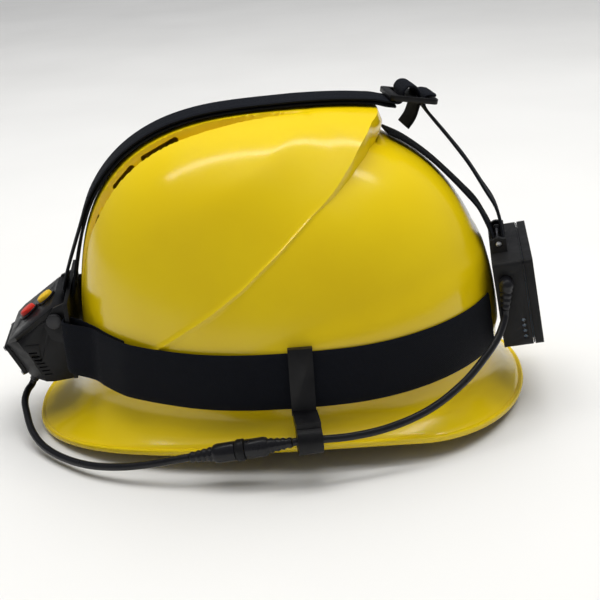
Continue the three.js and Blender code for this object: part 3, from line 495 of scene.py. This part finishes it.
def curved(table, at):
    """A table of (position, value) read along a curve that never overshoots it."""
    x, y = (np.array(v, float) for v in zip(*table))
    h = np.diff(x)
    d = np.diff(y) / h
    flat = d[:-1] * d[1:] <= 0
    w1, w2 = 2 * h[1:] + h[:-1], h[1:] + 2 * h[:-1]
    safe = np.where(flat, 1.0, w1 / np.where(flat, 1, d[:-1]) + w2 / np.where(flat, 1, d[1:]))
    slopes = np.concatenate([[d[0]], np.where(flat, 0, (w1 + w2) / safe), [d[-1]]])
    i = int(np.clip(np.searchsorted(x, at) - 1, 0, len(h) - 1))
    t = (at - x[i]) / h[i]
    return float(
        y[i] * (1 + 2 * t) * (1 - t) ** 2 + h[i] * slopes[i] * t * (1 - t) ** 2
        + y[i + 1] * t * t * (3 - 2 * t) + h[i] * slopes[i + 1] * t * t * (t - 1)
    )


def reach(plan, turn):
    """Distance from the dome's axis to an egg-shaped outline, in the direction turn."""
    low, high = 0.0, FARTHEST
    for _ in range(HALVINGS):
        r = (low + high) / 2
        x, y = AXIS_X + r * math.cos(turn) - plan["middle"], abs(r * math.sin(turn))
        front = x < 0
        power = plan["powers"][0 if front else 1]
        value = (abs(x) / plan["front" if front else "rear"]) ** power + (y / plan["half"]) ** power
        low, high = (r, high) if value < 1 else (low, r)
    return (low + high) / 2


def smooth(t):
    u = min(1.0, max(0.0, t))
    return u * u * (3 - 2 * u)


def from_rear(turn):
    """Degrees between a plan angle and straight back, the same on both sides."""
    return 180 - abs(math.degrees(turn) % 360 - 180)


def dome_point(turn, rise, crest, inset=0.0, outline=None):
    """A point of the dome at a plan and a rise angle, crest being its share of the raised crown."""
    c = math.cos(turn)
    power = 2.5 + (0.634 if c < 0 else -0.15) * c * c
    overhang = CREST_OVERHANG * c * c * crest if c > 0 else 0
    height = REAR_HEIGHT + (CREST_HEIGHT - REAR_HEIGHT) * crest - inset
    radius = (outline or reach(DOME_PLAN, turn)) + overhang - inset
    flat = radius * max(0.0, math.cos(rise)) ** (2 / power)
    up = height * math.sin(rise) ** (2 / power)
    return np.array([AXIS_X + flat * c, flat * math.sin(turn), DOME_FOOT_Z + up])


def step_at(turn, read=curved):
    """The step's foot and top rise angles and its size, at a plan angle."""
    at = from_rear(turn)
    foot = read(STEP_FOOT, at)
    return foot, foot + read(STEP_TOP_EXTRA, at), read(STEP_SIZE, at)


def crest_at(rise, top, size):
    return size + (1 - size) * smooth((rise - top) / min(CREST_SPREAD, 90 - top))


def coarse_meridian(turn):
    """The CAD's own row of points from the dome's foot to its crown."""
    foot, top, size = step_at(turn, straight)
    rows = [dome_point(turn, math.radians(foot * (i / 6) ** 1.6), 0) for i in range(7)]
    for i in range(8):
        rise = top + (90 - top) * i / 7
        rows.append(dome_point(turn, math.radians(rise), crest_at(rise, top, size)))
    return rows


def wall_point(turn, z):
    """The CAD shell's outside at a plan angle and a height."""
    rows = coarse_meridian(turn)
    for a, b in zip(rows, rows[1:]):
        if b[2] >= z:
            return a + (b - a) * (z - a[2]) / (b[2] - a[2])
    return rows[-1]


def on_wall(turn, z, lift):
    """A point lifted off the CAD shell, and the direction up the wall there."""
    up = unit(wall_point(turn, z + 8) - wall_point(turn, z - 8))
    side = unit(wall_point(turn + 0.05, z) - wall_point(turn - 0.05, z))
    out = unit(np.cross(side, up))
    return wall_point(turn, z) + out * lift, up


FINEST_TURN, WIDEST_TURN, REAR_SECTIONS = 0.42, 2.4, 46


def shell_columns():
    """Plan angles of the fine shell's sections, closest in front, where the channels run."""
    front = []
    at = 0.0
    while at < 90:
        front.append(at)
        at += max(FINEST_TURN, WIDEST_TURN * math.sin(math.radians(max(at, 3.0))))
    rear = list(np.linspace(90, 180, REAR_SECTIONS))[:-1]
    half = [180 - a for a in front] + [180 - a for a in rear]
    half = sorted(set(round(a, 4) for a in half if a > 1e-6))
    return [math.radians(a) for a in [0.0] + half + [360 - a for a in half[::-1] if a < 179.99]]


CHANNEL = {
    "inner": 15.2, "wall": 1.5, "floor": 9.0, "rise": 1.3, "depth": 8.5, "lowest": 70,
    "rear_end": 26, "rear_taper": 75, "front_end": -122, "front_taper": 26,
}


def channel_depth(p):
    """How deep the channel beside the crown's middle rib is at a point of the dome."""
    x, y = p[0], abs(p[1])
    s = y - CHANNEL["inner"]
    if p[2] < CHANNEL["lowest"] or s < 0:
        return 0.0
    taper = smooth((CHANNEL["rear_end"] - x) / CHANNEL["rear_taper"])
    taper *= smooth((x - CHANNEL["front_end"]) / CHANNEL["front_taper"])
    w, f, r = CHANNEL["wall"], CHANNEL["floor"] * taper, CHANNEL["rise"]
    across = smooth(s / w) if s < w + f else 1 - smooth((s - w - f) / r)
    return CHANNEL["depth"] * across * min(1.0, 1.3 * taper)


SWELL, RIDGE_HEIGHT, RIDGE_SPREAD = 1.3, 0.8, 0.55


def lower_swell(turn, z):
    """The soft line low on the sides, below which the wall stands slightly proud."""
    at = from_rear(turn)
    line = float(np.interp(at, [0, 25, 55, 90, 110, 130], [92, 88, 80, 71, 60, 52]))
    fade = 1 - smooth((at - 100) / 40)
    return SWELL * fade * (1 - smooth((z - line + 5) / 10)) * smooth((z - 20) / 22)


# The rounded rim of the brim as (outwards, up) from its edge, and where its fillet leaves it
# (a share of the brim's width) and meets the wall (degrees of rise).
RIM = [
    (-1.6, 0), (-0.7, 0.1), (-0.15, 0.6), (0, 1.4), (0, 2.2), (-0.2, 2.9), (-0.8, 3.4), (-1.7, 3.5),
    (-2.6, 3.2),
]
FILLET_FROM, FILLET_TOP, FILLET_PULL, LOWEST_STEP = 0.34, 7, 0.42, 7.6
ROWS_BELOW, ROWS_ABOVE, INSIDE_EVERY = 24, 104, 3


def shell_profile(turn):
    """One closed section of the shell: outside from brim to crown, then inside back down."""
    edge, wall = reach(BRIM_PLAN, turn), reach(DOME_PLAN, turn)
    c, s = math.cos(turn), math.sin(turn)
    edge_z = BRIM_ARCH * (1 - ((AXIS_X + edge * c - BRIM_MIDDLE_X) / BRIM_HALF_LENGTH) ** 2)
    width = edge - wall

    def at(r, z):
        return np.array([AXIS_X + r * c, s * r, z])

    def top_of(f):
        return edge_z + 3 + (DOME_FOOT_Z - edge_z - 1) * (1 - f) ** 1.4

    foot, top, size = step_at(turn)

    def low_point(rise):
        crest = 0 if foot > rise else crest_at(rise, top, size)
        return dome_point(turn, math.radians(rise), crest, 0, wall)

    outside = [at(edge + dr, edge_z + dz) for dr, dz in RIM]
    for f in np.linspace(1 - 4.0 / width, FILLET_FROM, 9):
        outside.append(at(wall + width * f, top_of(f)))
    # The fillet between brim and wall.
    a = at(wall + width * FILLET_FROM, top_of(FILLET_FROM))
    slope = unit(at(wall + width * (FILLET_FROM - 0.05), top_of(FILLET_FROM - 0.05)) - a)
    b = low_point(FILLET_TOP)
    up = unit(low_point(FILLET_TOP + 1) - b)
    pull = np.linalg.norm(b - a) * FILLET_PULL
    for t in np.linspace(0, 1, 9)[1:-1]:
        k = 1 - t
        near_a, near_b = a + slope * pull, b - up * pull
        outside.append(k**3 * a + 3 * k * k * t * near_a + 3 * k * t * t * near_b + t**3 * b)
    # Rise angles up the dome, each with its share of the step's face, or None above it.
    low = max(foot, LOWEST_STEP)
    high = max(top, low)
    room = min(1, (low - FILLET_TOP) / 3)
    below = [FILLET_TOP + (low - FILLET_TOP) * i / ROWS_BELOW for i in range(ROWS_BELOW)]
    rises = [(rise, 0.0) for rise in below + [low - 0.9 * room, low - 0.35 * room, low]]
    rises += [(low + (high - low) * share, share) for share in (0.04, 0.5, 0.96)]
    rises += [(high + (90 - high) * (i / (ROWS_ABOVE - 1)), None) for i in range(ROWS_ABOVE)]
    rear = from_rear(turn)
    ridge_fade = smooth((rear - 84) / 12) * (1 - smooth((rear - 146) / 12))
    out_dir = np.array([c, s, 0])
    inside_rows = []
    for k, (rise, share) in enumerate(rises):
        angle = math.radians(rise)
        if share is None or foot <= LOWEST_STEP:
            crest = crest_at(rise, top, size)
        else:
            crest = size * share
        p = dome_point(turn, angle, crest, 0, wall)
        near = dome_point(turn, angle - 0.004, crest, 0, wall)
        along = unit(p - near) if np.linalg.norm(p - near) > 1e-9 else np.array([-c, -s, 0])
        normal = unit(out_dir * along[2] - UP * np.dot(along, out_dir))
        ridge = RIDGE_HEIGHT * ridge_fade * math.exp(-(((rise - low) / RIDGE_SPREAD) ** 2))
        shift = ridge - channel_depth(p) + lower_swell(turn, p[2])
        outside.append(p + normal * shift)
        if k % INSIDE_EVERY == 0 or k == len(rises) - 1:
            inner = dome_point(turn, angle, crest, SHELL_WALL, wall)
            if rise >= 89.99:
                inner[0], inner[1] = AXIS_X, 0
            inside_rows.append(inner - normal * channel_depth(p))
    inside = inside_rows[::-1]
    inside += [at(wall - SHELL_WALL, DOME_FOOT_Z - 2), at(wall + width * 0.2, top_of(0.25) - 2.9)]
    inside += [at(wall + width * f, top_of(f) - 2.6) for f in (0.4, 0.6, 0.8)]
    return outside + inside


SLOT_END_SIDES = 6


def rounded_slot(centre, along, deep, length, width, depth):
    """A cutter with round ends, as points and faces."""
    along, deep = unit(along), unit(deep)
    across = unit(np.cross(deep, along))
    ring = []
    for end in (1, -1):
        for k in range(SLOT_END_SIDES + 1):
            a = -math.pi / 2 + math.pi * k / SLOT_END_SIDES
            u = end * (length / 2 - width / 2 + width / 2 * math.cos(a))
            ring.append((u, end * width / 2 * math.sin(a)))
    centre = np.array(centre)
    levels = (-depth / 2, depth / 2)
    verts = [centre + along * u + across * v + deep * d for d in levels for u, v in ring]
    return verts, capped_loft(2, len(ring))


def cutter(name, solids):
    """One mesh of several cutting solids."""
    verts, faces = [], []
    for v, f in solids:
        faces += [tuple(i + len(verts) for i in face) for face in f]
        verts += v
    return piece(name, verts, faces, "helmet_abs", None)


def carved(obj, tool):
    """Cuts the tool out of obj, and removes the tool."""
    m = obj.modifiers.new("cut", "BOOLEAN")
    m.operation, m.solver, m.object = "DIFFERENCE", "EXACT", tool
    applied(obj)
    bpy.data.objects.remove(tool)


def channel_wall(x, side):
    """The surface beside the crown's rib at a length x, and its direction towards the crown."""
    y = CHANNEL["inner"] + CHANNEL["wall"] / 2
    turn = math.pi - side * math.atan2(y, AXIS_X - x)
    rows = [dome_point(turn, math.radians(a), crest_at(a, 0.5, 0)) for a in np.linspace(20, 88, 137)]
    i = min(range(1, len(rows) - 1), key=lambda k: abs(rows[k][0] - x))
    along = unit((rows[i + 1] - rows[i - 1]) * (1, 0, 1))
    return rows[i] * (1, 0, 1) + ACROSS_Y * side * y, along


# Vents in the channel's inner wall as (x, length), and their width, depth and distance down it.
VENTS = ((-66, 23), (-88, 17), (-104, 14))
VENT_WIDTH, VENT_DEPTH, VENT_DOWN, SHELL_SHARP = 3.4, 9, 4.4, 32


def make_helmet():
    columns = shell_columns()
    sections = [shell_profile(t) for t in columns]
    count = len(sections[0])
    verts = [p for section in sections for p in section]
    faces = [f[::-1] for f in loft_faces(len(columns), count, closed=True)]
    obj = piece("helmet_shell_moulded", verts, faces, "helmet_abs", None, SHELL_SHARP)
    slots = []
    for side in (-1, 1):
        for x, length in VENTS:
            p, along = channel_wall(x, side)
            middle = p - np.array([-along[2], 0, along[0]]) * VENT_DOWN
            slots.append(rounded_slot(middle, along, ACROSS_Y, length, VENT_WIDTH, VENT_DEPTH))
        # The vent in the step's rear face, under the crown's edge.
        along, deep = (0.2, side * 0.98, -0.1), (1, -0.1 * side, 0.12)
        slots.append(rounded_slot((59, side * 21, 150.2), along, deep, 17, 3.6, 16))
    carved(obj, cutter("slots", slots))
    smooth_with_edges(obj.data, SHELL_SHARP)
    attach(obj, "helmet")
    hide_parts("helmet_shell")


make_helmet()

# ---------------------------------------------------------------- webbing
BAND_WIDTH, STRAP_WIDTH, WEBBING_THICK, LIFT, SECOND_LIFT = 30.0, 25.0, 1.8, 1.7, 3.8


def band_height(turn):
    """The height of the band's middle, lowest at the sides and between them and the lamp."""
    c = math.cos(turn)
    return 52 - 4.5 * math.sin(turn) ** 4 - (2 * c * c if c > 0 else 3 * math.sin(2 * turn) ** 2)


def make_band(side, end_turn, node):
    """Half of the head band: doubled through the lamp's bracket, then back round the shell."""
    def on_band(degrees, lift):
        turn = math.radians(degrees) * side
        return on_wall(turn, band_height(turn), lift)

    def free(x, y):
        return np.array([x, y * side, 53.0]), UP

    stations = [on_band(148, LIFT), on_band(154, LIFT), on_band(160, LIFT)]
    stations += [free(-118.9, 34.6), free(-122.1, 31.7), free(-125, 32.6)]
    stations += [free(-126, 35.2), free(-125.4, 38.8)]
    stations += [on_band(159, SECOND_LIFT + 0.5), on_band(155, SECOND_LIFT), on_band(147, SECOND_LIFT)]
    stations.append(on_band(142, LIFT + 1))
    stations += [on_band(degrees, LIFT) for degrees in range(136, int(end_turn), -8)]
    stations.append(on_band(end_turn, LIFT))
    return webbing(node + "_woven", stations, BAND_WIDTH, WEBBING_THICK, node)


make_band(-1, 29, "head_band_left")
make_band(1, 0.5, "head_band_right")


def crown_line(lift):
    """The line over the middle of the CAD shell, from the lamp to the buckle."""
    front = [p for p in coarse_meridian(math.pi) if p[2] > 84]
    rear = coarse_meridian(0.0)[7:-1][::-1]
    line = np.array(front + rear)
    out = []
    for i, p in enumerate(line):
        along = unit(line[min(len(line) - 1, i + 1)] - line[max(0, i - 1)])
        out.append(np.array([p[0] - along[2] * lift, 0, p[2] + along[0] * lift]))
    return out


def flat_points(pairs):
    return [np.array([x, 0.0, z]) for x, z in pairs]


TOP_FRONT_FOLD = [(-120.2, 78), (-121, 73.6), (-123.3, 71.9), (-125.6, 73.3), (-126, 76.5), (-125, 80.8)]
TOP_REAR_START = [(67.2, 163.7), (62, 164.7)]
TOP_REAR_END = [
    (63.5, 166.8), (69.7, 165.8), (71.6, 168.4), (71.8, 171.7), (74.3, 174.1), (78, 173.7), (80.3, 170.8),
    (81, 166.4), (79.8, 162), (77.4, 156), (73.6, 151),
]
top_points = flat_points(TOP_REAR_START) + crown_line(LIFT)[::-1] + flat_points(TOP_FRONT_FOLD)
top_points += crown_line(SECOND_LIFT) + flat_points(TOP_REAR_END)
webbing("top_strap_woven", [(p, ACROSS_Y) for p in top_points], STRAP_WIDTH, WEBBING_THICK, "top_strap")

PACK_WIDTH = 70.0
PACK_TURN, PACK_LEAN = math.radians(-15), math.radians(8.5)
PACK_PLACE = np.array([118.7, -30.0, 60.0])
OUTWARD = np.array([math.cos(PACK_TURN), math.sin(PACK_TURN), 0])
SIDEWAYS = np.array([-OUTWARD[1], OUTWARD[0], 0])
PACK_X = OUTWARD * math.cos(PACK_LEAN) + UP * math.sin(PACK_LEAN)
PACK_Z = np.cross(PACK_X, SIDEWAYS)
BAR_OUT, BAR_UP, BAR_WRAP = 5.2, 29.8, 2.95


def in_pack(x, y, z):
    """A point given outwards, to the side and up from the battery pack's foot on the shell."""
    return PACK_PLACE + PACK_X * x + SIDEWAYS * y + PACK_Z * z


def make_rear_strap():
    """The loop from the buckle down to the pack's bar, round it and back up."""
    def across(share):
        return unit(ACROSS_Y + (SIDEWAYS - ACROSS_Y) * max(0.0, share))

    down = [
        (89.8, 0, 167.9), (86.2, 0, 168.6), (84, 0, 168.1), (83.5, 0, 166.2), (83.8, 0, 163.1),
        (85.9, -0.5, 159.4), (99, -4.8, 142), (108, -9.7, 129), (115, -15, 116.4), (121, -20.5, 105),
    ]
    up = [
        (113, -23.5, 101.5), (110, -19.8, 107.5), (104, -15.3, 114.8), (96.5, -10.9, 123.2),
        (86, -7.5, 133.8), (72.5, -4.4, 144.4), (62.5, -3.2, 149.9),
    ]
    bar = in_pack(BAR_OUT, 0, BAR_UP)
    stations = [(np.array(p), across(-0.3 + 1.1 * i / (len(down) - 1))) for i, p in enumerate(down)]
    for angle in map(math.radians, (20, -25, -70, -110, -155, 160)):
        c, s = BAR_WRAP * math.cos(angle), BAR_WRAP * math.sin(angle)
        stations.append((bar + OUTWARD * c + UP * s, across(1)))
    stations += [(np.array(p), across(0.8 - 0.7 * i / (len(up) - 1))) for i, p in enumerate(up)]
    webbing("rear_strap_woven", stations, STRAP_WIDTH, WEBBING_THICK, "rear_strap")


make_rear_strap()

# ---------------------------------------------------------------- lead
GLAND_AT, GLAND_WAY = np.array([-147.0, -8.0, 29.6]), unit([-0.5, -0.2, -0.84])
PLUG_FROM, PLUG_TO = np.array([-64.0, -107.4, 15.0]), np.array([-12.6, -118.2, 22.6])
PLUG_WAY = unit(PLUG_TO - PLUG_FROM)
LEAD_RADIUS = 2.0

front_route = [GLAND_AT + GLAND_WAY * 7.9, GLAND_AT + GLAND_WAY * 10.5]
front_route += [
    (-154.4, -14.5, 19.2), (-155.6, -22, 16.6), (-154, -32, 13.4), (-150.4, -45, 8.6), (-144, -57, 5.2),
    (-133, -71, 4.2), (-117, -86, 5.4), (-100, -96, 7.8), (-84, -102, 10.8),
]
front_route += [PLUG_FROM - PLUG_WAY * 4, PLUG_FROM - PLUG_WAY * 0.3]
lead_front = tube("lead_front_jacket", front_route, LEAD_RADIUS, "lead_front", body=None)
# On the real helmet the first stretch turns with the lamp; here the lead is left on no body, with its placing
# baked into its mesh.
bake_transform(lead_front)

PACK_GLAND = in_pack(6, -PACK_WIDTH / 2, 14)
ELBOW = PACK_GLAND - SIDEWAYS * 6
BOOT_END = np.array([110.4, -73.4, 62.6])
BOOT_WAY = unit(BOOT_END - ELBOW)
rear_route = [PLUG_TO + PLUG_WAY * 0.3, PLUG_TO + PLUG_WAY * 3]
rear_route += [
    (-4, -119, 23), (6.2, -118.8, 22.5), (16.4, -118, 21.9), (33.7, -116, 22.6), (51.7, -112, 25.4),
    (66.3, -106, 29), (81.8, -98, 35.6), (92.4, -91, 42), (103.4, -82.4, 50.2),
]
rear_route += [BOOT_END + BOOT_WAY * 4.5, BOOT_END + BOOT_WAY * 0.35]
tube("lead_rear_jacket", rear_route, LEAD_RADIUS, "lead_rear")

# ---------------------------------------------------------------- moulded pieces
# How far each piece's edges are rounded.
EDGES = {
    "lamp_bezel": 0.5, "lamp_bracket": 0.35, "lamp_gland": 0.2, "red_button": 0.5, "yellow_button": 0.5,
    "red_button_collar": 0.2, "yellow_button_collar": 0.2, "pivot_bolt": 0.35, "pivot_nut": 0.3,
    "triglide_buckle": 0.7, "cable_clip": 0.45, "connector_plug": 0.3, "connector_socket": 0.3,
    "connector_lock_ring": 0.25, "battery_gland": 0.25, "strap_bar": 0.3, "headband": 0.3,
    "ratchet_housing": 0.8, "ratchet_knob": 0.7, "nape_rack_left": 0.2, "nape_rack_right": 0.2,
}
BLACK_OXIDE = moulded("black_oxide", rgb(0.045, 0.045, 0.048), rgb(0.03, 0.03, 0.033), (0.35, 0.5), metal=0.6)
for cad_name, bevel in EDGES.items():
    polished(cad_name, bevel, material=BLACK_OXIDE if cad_name.startswith("pivot") else None)

LAMP_HALF_WIDTH, SLOPE_WAY = 26, (0.829, 0, 0.559)
GROOVES, GROOVE_LOWEST, GROOVE_PITCH = 7, 33, 2.3


def make_lamp_housing():
    """The lamp's case, with a groove under its sloping top and short ones down its front edge."""
    obj = polished("lamp_housing", 0.9)
    cuts = []
    for y in (-LAMP_HALF_WIDTH, LAMP_HALF_WIDTH):
        cuts.append(rounded_slot((-145.5, y, 59.9), SLOPE_WAY, ACROSS_Y, 21, 1.1, 1.6))
        # The front edge leans forward as it rises, and the short grooves follow it.
        for i in range(GROOVES):
            z = GROOVE_LOWEST + GROOVE_PITCH * i
            x = -138.5 - 0.47 * (z - 31)
            cuts.append(rounded_slot((x, y, z), (1, 0, 0), ACROSS_Y, 4.6, 0.9, 1.8))
    carved(obj, cutter("lamp_grooves", cuts))
    smooth_with_edges(obj.data, MOULDED_SHARP)


make_lamp_housing()
for i in (1, 2, 3, 4):
    polished(f"suspension_key_{i}", 0.7)
    polished(f"bezel_screw_{i}", 0.15)
for i in (1, 2):
    polished(f"cover_screw_{i}", 0.15)
polished("battery_case", 0.6, material=CASE_FINISH)
polished("battery_cover", 0.9, material=CASE_FINISH)

# ---------------------------------------------------------------- suspension
HALF_X, HALF_Y, BAND_MIDDLE, OVAL_POWER = 95.0, 75.0, 25.0, 0.8
KEY_TURNS = [math.radians(a) for a in (40, 138, 222, 320)]
CROWN_FOOT, CROWN_TOP, CROWN_WIDTH, CROWN_THICK, CROWN_STEPS = 41.5, 128.0, 18, 1.2, 12


def oval(turn, inset=0.0):
    """A point of the headband's inner face, or inside it."""
    c, s = math.cos(turn), math.sin(turn)
    return np.array([
        (HALF_X - inset) * math.copysign(abs(c) ** OVAL_POWER, c),
        (HALF_Y - inset) * math.copysign(abs(s) ** OVAL_POWER, s),
        BAND_MIDDLE,
    ])


def make_crown_strap(index):
    """One of the two straps that cross over the head, between opposite keys."""
    ends = [oval(turn, 3.4) * (1, 1, 0) for turn in KEY_TURNS[index::2]]
    across = unit(np.cross(ends[1] - ends[0], UP))
    top = CROWN_TOP - 2.2 * index
    stations = []
    for k in range(CROWN_STEPS + 1):
        a = math.pi * k / CROWN_STEPS
        share = math.cos(a)
        at = ends[0] + (ends[1] - ends[0]) * (1 - math.copysign(abs(share) ** 0.8, share)) / 2
        at[2] = CROWN_FOOT + (top - CROWN_FOOT) * abs(math.sin(a)) ** 0.8
        stations.append((at, across))
    node = f"crown_strap_{index + 1}"
    webbing(node + "_woven", stations, CROWN_WIDTH, CROWN_THICK, node, "crown_webbing")


make_crown_strap(0)
make_crown_strap(1)


def make_sweatband():
    """A foam pad inside the headband: crowned towards the forehead, thin at its sewn edges."""
    inset, height, thick = 3.2, 28.0, 4.0
    verts = []
    steps, across = 90, 12
    for i in range(steps + 1):
        turn = math.radians(122 + 116 * i / steps)
        at = oval(turn, inset)
        out = unit(np.cross(oval(turn + 0.02) - oval(turn - 0.02), UP))
        ends = smooth(min(i, steps - i) / 5)
        quilt = 0.88 + 0.12 * abs(math.sin(math.pi * i / 6))
        for j in range(across + 1):
            v = -1 + 2 * j / across
            verts.append(at + UP * v * height / 2 * (0.94 + 0.06 * ends) + out * thick / 2 * 0.96)
        for j in range(across, -1, -1):
            v = -1 + 2 * j / across
            crown = (1 - abs(v) ** 3.2) * (0.35 + 0.65 * ends) * quilt
            depth = thick / 2 - 1.2 - (thick - 1.3) * crown
            verts.append(at + UP * v * height / 2 * (0.94 + 0.06 * ends) + out * depth)
    faces = capped_loft(steps + 1, 2 * (across + 1))
    pad = piece("sweatband_padded", verts, faces, "foam", "helmet", 50)
    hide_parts("sweatband")


make_sweatband()

# ---------------------------------------------------------------- stage and light
FLOOR_Z = -0.0005
floor_corners = [(x, y, FLOOR_Z) for x, y in ((-4, -4), (4, -4), (4, 6), (-4, 6))]
floor_data = bpy.data.meshes.new("floor")
floor_data.from_pydata(floor_corners, [], [(0, 1, 2, 3)])
floor = link(bpy.data.objects.new("floor", floor_data))
floor_data.materials.append(
    moulded("floor_paint", rgb(0.78, 0.775, 0.765), rgb(0.74, 0.735, 0.725), (0.5, 0.65), (40, 0.0001), 2)
)


def area_light(name, at, look_at, size, power, color, size_y=None, shines=False):
    """A soft light in metres and watts, left out of reflections unless it shines."""
    data = bpy.data.lights.new(name, "AREA")
    data.shape, data.size, data.size_y = "RECTANGLE", size, size_y or size
    data.energy, data.color = power, color
    light = link(bpy.data.objects.new(name, data))
    light.location = at
    light.visible_glossy = shines
    light.rotation_euler = (Vector(look_at) - Vector(at)).to_track_quat("-Z", "Y").to_euler()


area_light("overhead", (0.15, 0.25, 1.6), (0.02, 0, 0.1), 2.2, 22, (1, 0.99, 0.96))
area_light("tube", (0.0, 0.10, 1.1), (0, 0, 0.1), 1.5, 3, (1, 1, 0.98), 0.03, True)
area_light("side_fill", (-1.6, -1.2, 1.0), (0, 0, 0.08), 1.8, 2, (0.95, 0.98, 1))

sky = link(bpy.data.objects.new("sky", bpy.data.lights.new("sky", "SUN")))
sky.data.energy, sky.data.angle, sky.visible_glossy = 1.7, math.radians(70), False
sky.rotation_euler = (math.radians(-18), math.radians(8), 0)

bpy.context.scene.view_settings.view_transform = "Standard"
world = bpy.data.worlds.new("studio")
bpy.context.scene.world = world
world.use_nodes = True
background = world.node_tree.nodes["Background"]
background.inputs["Color"].default_value = rgb(0.80, 0.82, 0.85)
background.inputs["Strength"].default_value = 0.22
